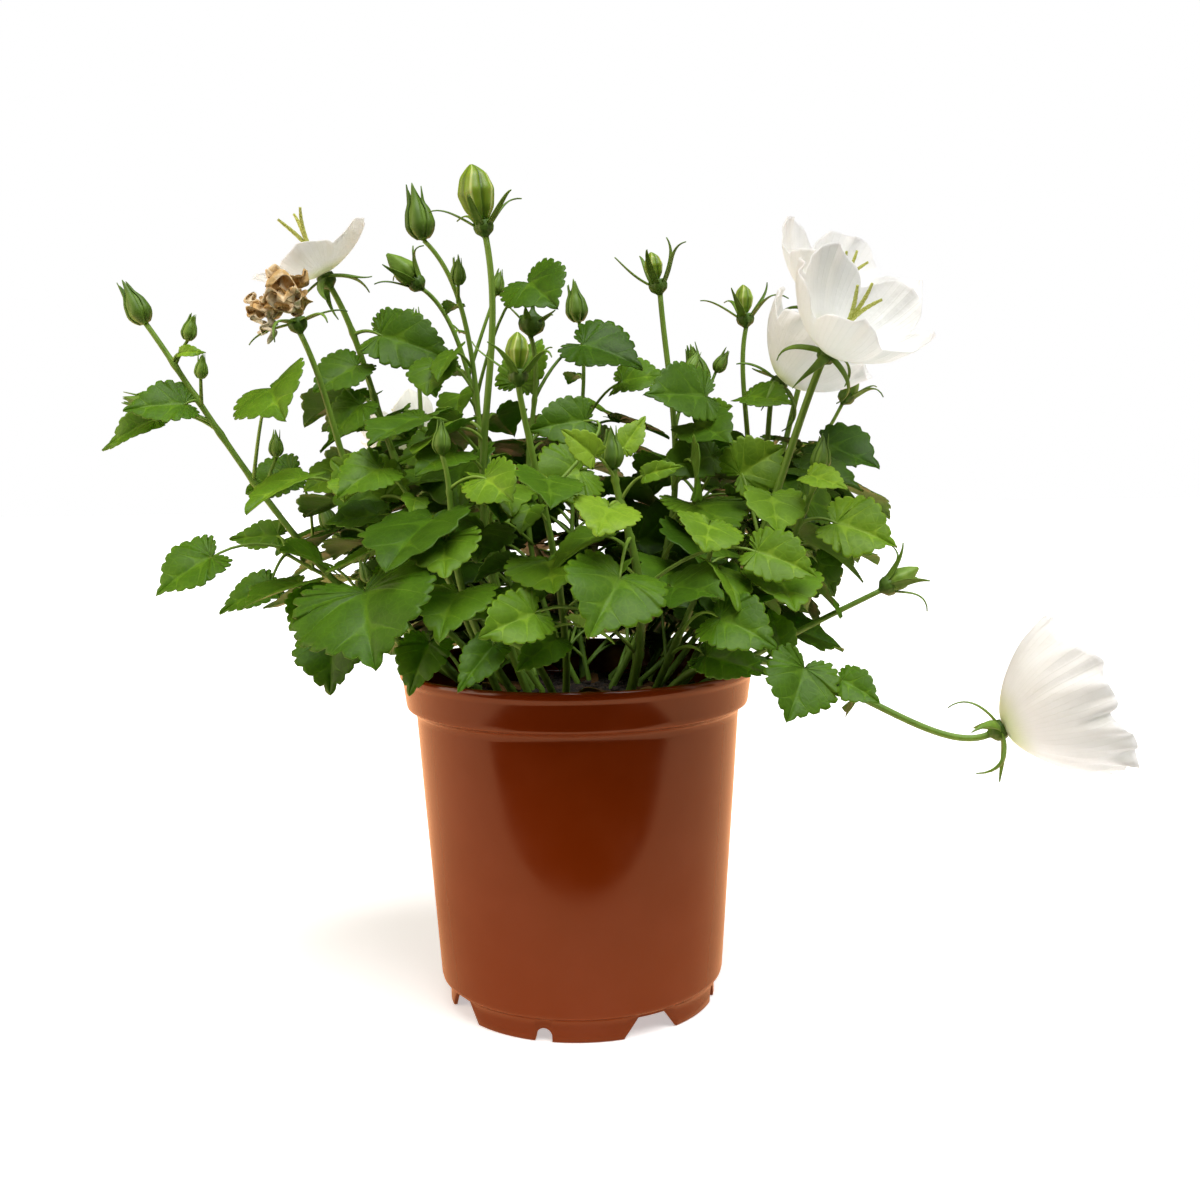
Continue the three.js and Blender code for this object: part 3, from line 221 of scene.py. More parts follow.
# %% Lamps
def lamp(name, kind, at, aim, energy, **settings):
    """A lamp at a point, turned towards another, both in metres."""
    data = bpy.data.lights.new(name, kind)
    data.energy = energy
    for key, value in settings.items():
        setattr(data, key, value)
    made = put(name, data)
    back = np.array(at) - np.array(aim)
    back = back / np.linalg.norm(back)
    side = np.cross(UP, back)
    side = side / np.linalg.norm(side)
    matrix = np.eye(4)
    matrix[:3, :3] = np.column_stack([side, np.cross(back, side), back])
    matrix[:3, 3] = at
    made.matrix_world = Matrix(matrix.tolist())


WARM, POT_MIDDLE, PLANT_MIDDLE = (1.0, 0.8, 0.6), (0, 0, 0.1), (0, 0, 0.15)
lamp("soft_sun", "SUN", (0.3, -0.5, 1.5), PLANT_MIDDLE, 3.4, angle=math.radians(50))
lamp("left_panel", "AREA", (-1.1, -0.35, 0.45), POT_MIDDLE, 9.5, size=1.0, color=WARM)
lamp("right_panel", "AREA", (1.1, -0.15, 0.45), POT_MIDDLE, 1.3, size=0.9, color=WARM)

# %% [markdown]
# ## Surfaces from arrays
#
# Every piece is made of grids: rows of points, worked out as whole arrays. A grid whose columns
# wrap round is a tube. A blade of a leaf is a tube too, pressed flat: its columns run over the
# upper face and back under the lower one. Each end of a tube closes in a point.


# %% Vectors
def unit(v):
    """Vectors of length one: each is divided by its own length."""
    return v / np.maximum(np.linalg.norm(v, axis=-1, keepdims=True), 1e-9)


def square_to(v, axis):
    """v without its share along axis, at length one."""
    return unit(v - np.sum(v * axis, axis=-1, keepdims=True) * axis)


def mix(a, b, k):
    """From a at k = 0 to b at k = 1."""
    return a + (b - a) * k


print("a vector of length one:", unit(np.array([3.0, 0.0, 4.0])))

# %% [markdown]
# ### One mesh from many tubes
#
# A leafy stem could be joined from many small objects. Here one builder collects the grids and
# makes one mesh of them, so that a stem with its leaves is one piece, as it grew. Each point
# carries two attributes for the materials: its place on its own surface, and a tone.

# %% The surface builder
TRIANGLES = {}


class Surface:
    """Grids of points, in millimetres, collected for one mesh."""

    def __init__(self):
        self.points, self.faces, self.places, self.tones, self.slots = [], [], [], [], []
        self.count = 0

    def tube(self, points, place=None, tone=0.5, slot=0):
        """Adds a tube: rows of rings. Each end is closed by a row that shrinks to its middle."""
        if place is None:
            place = np.zeros(points.shape)
        points = np.concatenate([ends(points[:1]), points, ends(points[-1:])])
        place = np.concatenate([place[:1], place, place[-1:]])
        rows, columns = points.shape[:2]
        i = np.arange(rows - 1)[:, None] * columns
        j = np.arange(columns)[None, :]
        k = (j + 1) % columns
        quads = np.stack([i + j, i + k, i + columns + k, i + columns + j], axis=-1).reshape(-1, 4)
        self.faces.append(quads + self.count)
        self.slots.append(np.full(len(quads), slot))
        self.points.append(points.reshape(-1, 3))
        self.places.append(place.reshape(-1, 3))
        self.tones.append(np.broadcast_to(tone, (rows * columns,)).astype(float))
        self.count += rows * columns

    def build(self, name, materials, nodes):
        """Makes the object, merges the points that meet at the ends, hangs it on the root body and hides
        the imported nodes it stands for.
        """
        points = np.concatenate(self.points) * MM
        faces = np.concatenate(self.faces)
        mesh = bpy.data.meshes.new(name)
        mesh.vertices.add(len(points))
        mesh.vertices.foreach_set("co", points.astype(np.float32).ravel())
        mesh.loops.add(faces.size)
        mesh.loops.foreach_set("vertex_index", faces.astype(np.int32).ravel())
        mesh.polygons.add(len(faces))
        mesh.polygons.foreach_set("loop_start", np.arange(len(faces), dtype=np.int32) * 4)
        mesh.polygons.foreach_set("material_index", np.concatenate(self.slots).astype(np.int32))
        mesh.update(calc_edges=True)
        place = mesh.attributes.new("place", "FLOAT_VECTOR", "POINT")
        place.data.foreach_set("vector", np.concatenate(self.places).astype(np.float32).ravel())
        tone = mesh.attributes.new("tone", "FLOAT", "POINT")
        tone.data.foreach_set("value", np.concatenate(self.tones).astype(np.float32))
        for material in materials:
            mesh.materials.append(material)
        work = bmesh.new()
        work.from_mesh(mesh)
        bmesh.ops.remove_doubles(work, verts=work.verts, dist=1e-7)
        work.to_mesh(mesh)
        work.free()
        mesh.polygons.foreach_set("use_smooth", np.ones(len(mesh.polygons), dtype=bool))
        piece = put(name, mesh)
        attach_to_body(piece, "root")
        if nodes:
            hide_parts(*nodes)
        TRIANGLES[name] = sum(len(p.vertices) - 2 for p in mesh.polygons)


def ends(row):
    """A ring shrunk to its middle."""
    return np.broadcast_to(row.mean(axis=1, keepdims=True), row.shape)


# %% [markdown]
# ### Swept and turned shapes
#
# Stems and stalks are a round section carried along a path, and buds and cups are a profile turned
# round an axis. A curve object with a bevel would make the first as well, but not its ridges.


# %% Swept and turned shapes
def swept(path, radii, sides, guide, ridges=5, ridge=0.0):
    """A round section carried along a path: at each point the middle plus the radius times cos of
    the turn one way and sin of the turn the other. Ridges make the radius swell that many times."""
    tangent = unit(np.gradient(path, axis=0))
    first = square_to(np.broadcast_to(guide, path.shape), tangent)
    second = np.cross(tangent, first)
    turn = np.arange(sides) / sides * 2 * np.pi
    radius = np.asarray(radii)[:, None] * (1 + ridge * np.cos(ridges * turn))[None, :]
    round_ = first[:, None] * np.cos(turn)[None, :, None] + second[:, None] * np.sin(turn)[None, :, None]
    return path[:, None] + round_ * radius[..., None]


def turned_ring(origin, axes, radius, turn, height):
    """Points round an axis: origin + side x r cos + across x r sin + forward x height."""
    side, across, ahead = axes
    radius, turn, height = np.broadcast_arrays(radius, turn, height)
    out = side * (radius * np.cos(turn))[..., None] + across * (radius * np.sin(turn))[..., None]
    return origin + out + ahead * height[..., None]


print("a ring of four points:", swept(np.eye(3), [1, 1, 1], 4, UP).shape)

# %% [markdown]
# ## The plant's plan
#
# The plant could be grown by chance alone, but then it would be another plant. So its stems, its
# heads and the leaves that are easy to see are listed, in the same tables that the packed
# solids were made from. A stem's route is four points: it leaves the crown at the first, passes
# two, and ends at the last. Its head reaches on to one more point. A leaf has a place along its
# stem, the notch where the stalk meets the blade, the blade's tip, and a width for its length.

# %% Stems
CROWN_HEIGHT, ROOT_DEPTH, GAP = 106.0, 10.0, 0.3
STEMS = {
    "far_left": dict(radii=(1.6, 1.1), head="bud", reach=(-148, 6, 243), leaves=(1, 0.2, 0.3),
        route=((-34, 4), (-81, 6, 142), (-117, 6, 191), (-142, 6, 231))),
    "spent": dict(radii=(1.5, 1.1), head="withered", reach=(-90, -18, 240), leaves=(1, 0.2, 0.4),
        route=((-22, 0), (-62, -8, 153), (-76, -14, 191), (-86, -18, 225))),
    "saucer": dict(radii=(1.5, 1.2), head="saucer", reach=(-89, 5, 260), leaves=(0, 0, 0),
        route=((-16, 10), (-53, 12, 164), (-68, 10, 208), (-80, 7, 242))),
    "upright_left": dict(radii=(1.3, 0.9), head="bud", reach=(-50, -8, 270), leaves=(1, 0.3, 0.7),
        route=((-12, -2), (-28, -6, 156), (-32, -8, 213), (-47, -8, 255))),
    "nodding_left": dict(radii=(1.3, 0.9), head="openingBud", reach=(-62, 14, 254), leaves=(0, 0, 0),
        route=((-14, 12), (-26, 10, 160), (-35, 14, 211), (-50, 14, 242))),
    "tall_lime": dict(radii=(1.6, 1.2), head="limeBud", reach=(-30, -26, 275), leaves=(2, 0.2, 0.5),
        route=((-16, -14), (-29, -22, 165), (-26, -26, 210), (-26, -26, 253))),
    "centre_lime": dict(radii=(1.5, 1.1), head="limeBud", reach=(-16, -48, 222), leaves=(1, 0.25, 0.4),
        route=((-4, -20), (-5, -36, 143), (-11, -44, 179), (-16, -48, 206))),
    "capsule": dict(radii=(1.2, 1.0), head="capsule", reach=(-13, 20, 237), leaves=(1, 0.3, 0.5),
        route=((0, 12), (-16, 18, 159), (-14, 20, 198), (-14, 20, 226))),
    "rear_bud": dict(radii=(1.1, 0.8), head="bud", reach=(1, 46, 246), leaves=(2, 0.3, 0.7),
        route=((4, 20), (-1, 34, 158), (3, 42, 198), (3, 46, 233))),
    "right_lime": dict(radii=(1.5, 1.1), head="limeBud", reach=(27, 4, 252), leaves=(1, 0.25, 0.5),
        route=((12, 4), (32, 4, 156), (34, 4, 198), (30, 4, 238))),
    "right_lime_low": dict(radii=(1.3, 1.0), head="limeBud", reach=(61, 30, 244), leaves=(1, 0.3, 0.6),
        route=((22, 12), (58, 24, 151), (62, 28, 193), (62, 30, 229))),
    "bell_low": dict(radii=(1.4, 1.1), head="bell", reach=(82, 10, 220), leaves=(0, 0, 0),
        route=((28, 2), (57, 10, 148), (66, 12, 179), (69, 15, 206))),
    "cup_front": dict(radii=(1.7, 1.4), head="cup", reach=(87, -36, 227), leaves=(1, 0.25, 0.45),
        route=((32, -12), (52, -20, 138), (66, -26, 177), (79, -25, 213))),
    "cup_rear": dict(radii=(1.4, 1.2), head="wideCup", reach=(98, 33, 247), leaves=(1, 0.3, 0.5),
        route=((36, 14), (64, 28, 150), (79, 44, 192), (90, 42, 231))),
    "thin_right": dict(radii=(1.0, 0.8), head="openingBud", reach=(105, 44, 212), leaves=(2, 0.2, 0.6),
        route=((26, 20), (56, 36, 144), (79, 40, 172), (99, 44, 202))),
    "bright_shoot": dict(radii=(1.7, 0.9), head="bud", reach=(77, -38, 189), leaves=(1, 0.3, 0.5),
        route=((42, -14), (58, -32, 137), (68, -36, 158), (76, -38, 179))),
    "right_bud": dict(radii=(1.3, 1.0), head="openingBud", reach=(106, -42, 149), leaves=(0, 0, 0),
        route=((34, -18), (61, -34, 124), (76, -40, 133), (94, -42, 142))),
    "far_right": dict(radii=(1.5, 1.2), head="farBell", reach=(141, -62, 108), leaves=(0, 0, 0),
        route=((26, -30), (58, -50, 122), (94, -57, 107), (123, -60, 100))),
    "twin_buds": dict(radii=(1.2, 0.8), head="bud", reach=(43, 38, 222), leaves=(2, 0.3, 0.6),
        route=((12, 24), (42, 36, 148), (45, 36, 184), (47, 38, 208))),
    "front_shoot": dict(radii=(2.0, 1.2), head="bud", reach=(11, -52, 192), leaves=(0, 0, 0),
        route=((16, -28), (20, -44, 139), (16, -50, 163), (12, -52, 181))),
    "left_shoot": dict(radii=(1.6, 0.9), head="bud", reach=(-39, -52, 195), leaves=(1, 0.2, 0.4),
        route=((-18, -28), (-34, -44, 142), (-37, -50, 167), (-39, -52, 186))),
    "cream_rear": dict(radii=(1.3, 1.1), head="paleBell", reach=(-66, 72, 198), leaves=(3, 0.2, 0.8),
        route=((-14, 28), (-41, 46, 149), (-54, 56, 168), (-60, 60, 180))),
    "rear_left_bud": dict(radii=(1.2, 0.9), head="bud", reach=(-55, 32, 236), leaves=(1, 0.2, 0.5),
        route=((-26, 20), (-48, 28, 163), (-54, 32, 198), (-55, 32, 224))),
    "big_leaf_shoot": dict(radii=(1.5, 0.9), head="bud", reach=(-63, -58, 155), leaves=(0, 0, 0),
        route=((-30, -22), (-47, -44, 128), (-54, -54, 141), (-61, -58, 149))),
    "low_left": dict(radii=(1.4, 0.7), head="none", reach=None, leaves=(1, 0.3, 0.5),
        route=((-40, 14), (-66, 18, 131), (-88, 22, 144), (-107, 22, 156))),
    "low_front": dict(radii=(1.5, 0.8), head="none", reach=None, leaves=(0, 0, 0),
        route=((-6, -36), (-14, -50, 125), (-20, -60, 131), (-25, -64, 136))),
    "mid_right": dict(radii=(1.5, 0.8), head="none", reach=None, leaves=(1, 0.3, 0.5),
        route=((24, -22), (35, -40, 136), (40, -46, 151), (43, -48, 165))),
    "left_fan": dict(radii=(1.6, 0.8), head="none", reach=None, leaves=(1, 0.3, 0.5),
        route=((-26, -10), (-39, -26, 143), (-47, -32, 164), (-55, -34, 179))),
    "back_left": dict(radii=(1.5, 0.8), head="bud", reach=(-95, 54, 168), leaves=(4, 0.2, 0.95),
        route=((-30, 32), (-58, 42, 136), (-76, 48, 148), (-90, 52, 158))),
    "back_middle": dict(radii=(1.6, 0.8), head="bud", reach=(-5, 73, 196), leaves=(4, 0.2, 0.95),
        route=((2, 36), (2, 56, 142), (0, 66, 164), (-4, 71, 184))),
    "back_right": dict(radii=(1.5, 0.8), head="bud", reach=(80, 69, 176), leaves=(4, 0.2, 0.95),
        route=((26, 34), (48, 54, 138), (62, 62, 154), (74, 66, 166))),
}
print(len(STEMS), "stems in the plan")

# %% Leaves and side buds listed one by one
NAMED_LEAVES = [
    ("saucer", 0.84, (-64, 4, 226), (-38, -2, 217), 0.6),
    ("far_left", 0.58, (-96, -18, 208), (-89, -38, 199), 0.95),
    ("low_left", 0.75, (-97, 14, 180), (-113, 12, 174), 0.85),
    ("far_left", 0.39, (-119, -12, 154), (-136, -18, 142), 0.75),
    ("low_left", 0.9, (-106, 30, 158), (-124, 34, 156), 0.5),
    ("low_left", 0.9, (-104, 6, 142), (-121, 0, 135), 0.6),
    ("far_left", 0.24, (-84, -8, 151), (-94, -24, 157), 0.75),
    ("big_leaf_shoot", 0.67, (-61, -66, 147), (-56, -88, 128), 1.15),
    ("big_leaf_shoot", 0.4, (-73, -50, 134), (-73, -58, 115), 0.85),
    ("far_left", 0.18, (-82, -12, 140), (-92, -22, 129), 0.9),
    ("left_shoot", 0.67, (-38, -60, 161), (-37, -76, 152), 0.95),
    ("front_shoot", 0.16, (-12, -68, 140), (-28, -78, 134), 0.7),
    ("centre_lime", 0.36, (-8, -54, 154), (-6, -72, 145), 1.0),
    ("front_shoot", 0.62, (13, -70, 150), (4, -87, 137), 1.0),
    ("front_shoot", 0.77, (10, -64, 170), (6, -78, 162), 0.95),
    ("left_shoot", 0.81, (-26, -54, 179), (-17, -64, 171), 0.85),
    ("left_fan", 0.98, (-59, -40, 182), (-71, -50, 175), 0.85),
    ("left_fan", 0.78, (-61, -22, 172), (-78, -18, 185), 0.85),
    ("spent", 0.49, (-79, 6, 180), (-91, 2, 174), 1.0),
    ("saucer", 0.64, (-72, 4, 216), (-85, -3, 206), 0.85),
    ("saucer", 0.5, (-70, 0, 203), (-81, -4, 191), 0.8),
    ("nodding_left", 0.61, (-14, 8, 243), (-4, -4, 233), 1.0),
    ("capsule", 0.74, (4, 30, 224), (25, 24, 215), 0.9),
    ("capsule", 0.55, (-19, 26, 210), (-10, 36, 226), 0.7),
    ("centre_lime", 0.6, (4, -26, 196), (-14, -30, 193), 0.7),
    ("right_lime", 0.55, (44, -4, 204), (22, -14, 203), 0.75),
    ("right_lime", 0.34, (46, -6, 184), (26, -14, 180), 0.55),
    ("cup_front", 0.5, (54, -16, 178), (69, -14, 187), 0.9),
    ("bell_low", 0.62, (60, 8, 204), (73, -4, 200), 0.7),
    ("twin_buds", 0.73, (47, 26, 196), (56, 18, 201), 0.9),
    ("mid_right", 0.83, (40, -54, 164), (37, -68, 156), 1.0),
    ("front_shoot", 0.39, (54, -56, 156), (71, -62, 149), 0.7),
    ("bright_shoot", 0.75, (81, -38, 163), (99, -44, 156), 0.85),
    ("mid_right", 0.21, (42, -64, 137), (57, -74, 131), 0.85),
    ("far_right", 0.38, (67, -64, 122), (60, -72, 107), 0.95),
    ("far_right", 0.52, (86, -48, 112), (84, -36, 104), 0.7),
    ("far_right", 0.3, (62, -50, 126), (60, -46, 138), 0.7),
    ("far_right", 0.44, (78, -64, 118), (88, -70, 112), 0.7),
    ("bright_shoot", 0.6, (78, -22, 150), (84, -20, 138), 0.8),
    ("bright_shoot", 0.82, (74, -22, 170), (86, -14, 164), 0.8),
    ("low_front", 0.91, (-24, -68, 131), (-34, -78, 119), 0.5),
    ("low_front", 0.63, (-6, -58, 131), (-18, -66, 123), 0.6),
    ("left_shoot", 0.3, (-44, -54, 130), (-50, -64, 117), 0.75),
    ("mid_right", 0.15, (39, -50, 124), (58, -64, 118), 0.45),
    ("bright_shoot", 0.93, (72, -44, 178), (82, -52, 173), 0.6),
    ("far_left", 0.77, (-129, 2, 204), (-148, -4, 202), 0.7),
    ("far_left", 0.7, (-140, 8, 200), (-160, 10, 189), 0.4),
    ("far_left", 0.88, (-130, 2, 221), (-121, 0, 221), 0.4),
    ("front_shoot", 0.81, (21, -56, 179), (32, -60, 182), 0.4),
    ("front_shoot", 0.93, (6, -57, 185), (-3, -60, 193), 0.6),
    ("front_shoot", 0.99, (15, -46, 187), (22, -40, 196), 0.5),
    ("upright_left", 0.62, (-44, -10, 215), (-46, -18, 204), 1.0),
    ("nodding_left", 0.42, (-45, 14, 188), (-60, 10, 184), 0.9),
    ("capsule", 0.4, (2, 0, 180), (-14, -8, 173), 1.0),
    ("rear_bud", 0.62, (18, 38, 211), (34, 32, 213), 0.9),
    ("left_fan", 0.29, (-54, -26, 146), (-66, -32, 136), 0.9),
]

SIDE_BUDS = [
    ("far_left", 0.87, (-128, 4, 225), (-126, 4, 233)),
    ("far_left", 0.76, (-122, -4, 212), (-121, -5, 219)),
    ("far_left", 0.72, (-137, 4, 204), (-149, 4, 206)),
    ("far_left", 0.55, (-100, 4, 186), (-100, 4, 194)),
    ("upright_left", 0.82, (-36, -12, 240), (-36, -14, 248)),
    ("nodding_left", 0.68, (-26, 18, 240), (-24, 18, 248)),
    ("twin_buds", 0.8, (52, 38, 214), (56, 38, 221)),
    ("right_lime", 0.62, (40, 12, 212), (43, 14, 219)),
]
print(len(NAMED_LEAVES), "leaves and", len(SIDE_BUDS), "side buds placed by hand")

# %% Blooms and calyces
BLOOMS = {
    "saucer": dict(radius=20, depth=10, parting=0.46, turn=-32, spread=0.95),
    "cup": dict(radius=23, depth=24, parting=0.42, turn=-9, spread=0.85),
    "wideCup": dict(radius=27, depth=23, parting=0.42, turn=25, spread=0.85),
    "bell": dict(radius=21, depth=23, parting=0.36, turn=8, spread=0.8),
    "paleBell": dict(radius=17, depth=20, parting=0.42, turn=0, spread=0.7),
    "farBell": dict(radius=24, depth=27, parting=0.34, turn=-12, spread=0.9),
}
SEPALS = {
    "limeBud": dict(spread=0.26, length=15, swelling=1),
    "openingBud": dict(spread=0.08, length=12, swelling=1),
    "capsule": dict(spread=0.3, length=7, swelling=1.45),
    "withered": dict(spread=0.62, length=15, swelling=1),
}
CALYX_DEPTH, CALYX_RIM = 5.0, 2.8
print("blooms of", [2 * bloom["radius"] for bloom in BLOOMS.values()], "mm across")

# %% [markdown]
# ## Where everything grows
#
# A stem is a smooth cubic curve through its four points. Leaves that are placed by a rule go
# round each stem by the golden angle, as leaves on most plants do, and each one looks for a free
# place. The free places are found with balls: every stem, leaf and head takes up some, and a new
# leaf may not come near them. The draws of chance are seeded, so the plant always grows alike.


# %% Routes
KNOTS = np.array([0, 1 / 3, 2 / 3, 1])


def route_point(route, t):
    """The cubic that passes the route's points at 0, 1/3, 2/3 and 1: each point is weighted by the
    product of the distances to the other knots, over the same product at its own knot."""
    t = np.atleast_1d(t)[:, None]
    weights = []
    for i in range(4):
        others = np.delete(KNOTS, i)
        weights.append(np.prod((t - others) / (KNOTS[i] - others), axis=1))
    return np.column_stack(weights) @ route


STEM_STEPS = 5


def stem_point(route, t):
    """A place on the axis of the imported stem, which is straight between its sections."""
    step = min(int(t * STEM_STEPS), STEM_STEPS - 1)
    a, b = route_point(route, np.array([step, step + 1]) / STEM_STEPS)
    return mix(a, b, t * STEM_STEPS - step)


def spot(p):
    """A table's point as an array. With two numbers it is on the crown's level."""
    return np.array([*p, CROWN_HEIGHT][:3], float)


def axes_along(axis, guide=None):
    """Three directions square to each other: side, across and, last, along the axis."""
    ahead = unit(np.asarray(axis, float))
    if guide is None:
        guide = np.array([1.0, 0, 0]) if abs(ahead[2]) > 0.9 else UP
    side = square_to(guide, ahead)
    return side, np.cross(ahead, side), ahead


PLANTS = {}
for index, (name, row) in enumerate(STEMS.items()):
    route = np.array([spot(p) for p in row["route"]])
    reach = None if row["reach"] is None else spot(row["reach"])
    axes = None if reach is None else axes_along(reach - route[3])
    PLANTS[name] = dict(row, name=name, index=index, route=route, reach=reach, axes=axes, grown=[])
print(len(PLANTS), "stems")


# %% [markdown]
# ### The shape of a leaf
#
# The blade is a heart: two round lobes beside a notch, and a point. It could be drawn as a picture
# and cut out, but two cubic curves say it in eight points and give any number of points back. The
# blade is folded a little along its midrib and arched along its length.

# %% The shape of a leaf
LOBE_CURVE = np.array([(0, 0), (0.06, -0.34), (0.6, -0.36), (0.6, 0.1)])
TIP_CURVE = np.array([(0.6, 0.1), (0.6, 0.48), (0.22, 0.74), (0, 1)])
BLADE_CENTRE = 0.35
STALK_RADIUS = 0.55


def bezier(knots, t):
    """A cubic curve: the knots weighted by (1-t)^3, 3t(1-t)^2, 3t^2(1-t) and t^3."""
    t = t[:, None]
    shares = (1 - t) ** 3, 3 * t * (1 - t) ** 2, 3 * t**2 * (1 - t), t**3
    return sum(share * knot for share, knot in zip(shares, knots))


def half_outline(s, width, wave, size):
    """One side of the heart-shaped blade, from the notch (s = 0) round the lobe to the tip (s = 1).
    The outline's distance from the blade's centre is scaled by one plus size times wave."""
    smooth = np.where((s < 0.5)[:, None], bezier(LOBE_CURVE, 2 * s), bezier(TIP_CURVE, 2 * s - 1))
    y = np.where(smooth[:, 1] < 0, smooth[:, 1] * min(1, width), smooth[:, 1])
    tooth = 1 + size * wave
    return np.column_stack([smooth[:, 0] * width * tooth, BLADE_CENTRE + (y - BLADE_CENTRE) * tooth])


def blade_lift(x, y):
    """How far the blade stands off its plane: folded up from the midrib, and arched along it."""
    return 0.3 * np.abs(x) - 0.25 * x * x + 0.18 * y * (1 - y)


def on_blade(leaf, x, y, lift=0.0):
    """Takes a blade's own coordinates, in blade lengths, to space."""
    length = np.linalg.norm(leaf["tip"] - leaf["base"])
    ahead = (leaf["tip"] - leaf["base"]) / length
    normal = square_to(leaf["facing"], ahead)
    side = np.cross(ahead, normal)
    x, y, lift = (np.asarray(v, float)[..., None] for v in (x, y, lift))
    height = blade_lift(x, y) * length + lift
    return leaf["base"] + side * x * length + ahead * y * length + normal * height


def stalk_bend(leaf):
    """The middle of the stalk: a little above the straight way, and behind the notch."""
    attach, base = leaf["attach"], leaf["base"]
    ahead = unit(leaf["tip"] - base)
    bend = 0.45 * attach + 0.55 * base + UP * 0.14 * np.linalg.norm(attach - base)
    past = float(np.dot(bend - base, ahead))
    return bend - ahead * (1.5 + past) if past > -1.5 else bend


lobe_width = 2 * half_outline(np.linspace(0, 1, 50), 1, 0, 0)[:, 0].max()
print("widest place of the heart:", round(float(lobe_width), 2), "of its length")

# %% [markdown]
# ### Which room is free
#
# Leaves on a real plant grow into free air. Testing mesh against mesh would be slow, so each stem,
# leaf and head is stood for by a few balls, and a new leaf has to keep its own balls clear of them.

# %% What is taken up
taken_at, taken_room, taken_by = [np.zeros((0, 3))], [np.zeros(0)], [np.zeros(0, int)]
REAR_LIMIT, RIM_RADIUS, WALL_INSIDE, POT_HEIGHT = 87.0, 60.0, 50.0, 115.0
OWN_BLADE, OWN_STALK = 2.2, 1.2
LARGE_LEAF, SMALL_LEAF = 27, 13


def take(points, room, owner):
    """Adds balls of one radius that belong to a stem."""
    taken_at.append(np.atleast_2d(points))
    taken_room.append(np.full(len(taken_at[-1]), float(room)))
    taken_by.append(np.full(len(taken_at[-1]), owner))


def leaf_balls(leaf):
    """Points of the blade and of the stalk, and the room that the blade needs round its points."""
    length = np.linalg.norm(leaf["tip"] - leaf["base"])
    steps = 8 if length > LARGE_LEAF else 6 if length > SMALL_LEAF else 5
    i = np.arange(steps + 1)
    wave = np.where(i == steps, 0, np.where(i % 2, 1, -1))
    edge = half_outline(i / steps, leaf["width"], wave, 0.07)
    edge[0] = STALK_RADIUS / length, 0
    edge = np.concatenate([edge, edge[-2::-1] * (-1, 1)])
    inner = (edge - (0, BLADE_CENTRE)) * 0.55 + (0, BLADE_CENTRE)
    flat = np.concatenate([[(0, BLADE_CENTRE)], edge, inner])
    bend = stalk_bend(leaf)
    stalk = [mix(leaf["attach"], bend, k) for k in (0.4, 0.7, 1)]
    stalk += [mix(bend, leaf["base"], k) for k in (0.35, 0.7)]
    return on_blade(leaf, flat[:, 0], flat[:, 1]), np.array(stalk), 0.085 * length + 0.5


def is_clear(points, room, owner, own_room):
    """True if the points keep clear of the rear limit, the soil, the rim and every ball."""
    from_axis = np.hypot(points[:, 0], points[:, 1])
    low = (points[:, 2] < CROWN_HEIGHT + room) & (from_axis < RIM_RADIUS)
    over_rim = (from_axis < RIM_RADIUS + 3) & (from_axis > WALL_INSIDE)
    low |= (points[:, 2] < POT_HEIGHT + room) & over_rim
    if np.any(low | (points[:, 1] > REAR_LIMIT)):
        return False
    at, ball, by = (np.concatenate(v) for v in (taken_at, taken_room, taken_by))
    middle = points.mean(axis=0)
    size = np.max(np.linalg.norm(points - middle, axis=1))
    near = np.linalg.norm(at - middle, axis=1) < size + room + ball
    gap = np.linalg.norm(points[:, None] - at[near][None], axis=2)
    limit = np.where(by[near] == owner, own_room, room + ball[near])
    return not np.any(gap < limit)


print("leaves stay in front of y =", REAR_LIMIT, "mm and above the rim at", POT_HEIGHT, "mm")

# %% [markdown]
# ### Leaves by rule
#
# A bellflower's leaves stand singly round the stem. The rule sends each out by the golden angle,
# with a longer stalk and a larger blade low down. The draws come from a small stream of numbers
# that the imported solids' source has as well, so both grow the same leaves.

# %% Leaves by rule
GOLDEN_ANGLE = math.radians(137.5)
TURNS = (0, 0.5, -0.5, 1, -1, 1.6, -1.6, 2.4)
STALKS = (1, 1.45, 0.7)


def seeded(seed):
    """A stream of numbers from 0 to 1: a 32-bit state is stepped, mixed twice and scaled."""
    state = seed
    while True:
        state = (state + 0x6D2B79F5) & 0xFFFFFFFF
        t = ((state ^ (state >> 15)) * (1 | state)) & 0xFFFFFFFF
        t = ((t + (((t ^ (t >> 7)) * (61 | t)) & 0xFFFFFFFF)) & 0xFFFFFFFF) ^ t
        yield (t ^ (t >> 14)) / 4294967296


def level_at(turn):
    """The level direction at a turn round the upright axis."""
    return np.array([math.cos(turn), math.sin(turn), 0.0])


def rule_leaf(plant, place, heading, length, room_share=1.0):
    """A leaf at a place on a stem. It tries its heading, then others, and other stalk lengths."""
    attach = stem_point(plant["route"], place)
    away = math.atan2(attach[1], attach[0])
    for share in STALKS:
        for turn in TURNS:
            out = unit(level_at(heading + turn) + level_at(away))
            stalk = length * (1.15 - 0.6 * place) * share
            base = attach + out * stalk * 0.85 + UP * stalk * 0.4
            tip = base + out * length * 0.9 - UP * length * 0.35
            facing = unit(out * 0.45 + UP * 0.9)
            leaf = dict(attach=attach, base=base, tip=tip, facing=facing, width=mix(0.95, 0.7, place))
            blade, stalk_at, room = leaf_balls(leaf)
            owner = plant["index"]
            if is_clear(blade, room * room_share, owner, OWN_BLADE):
                if is_clear(stalk_at[1:], room_share, owner, OWN_STALK):
                    return leaf
    return None


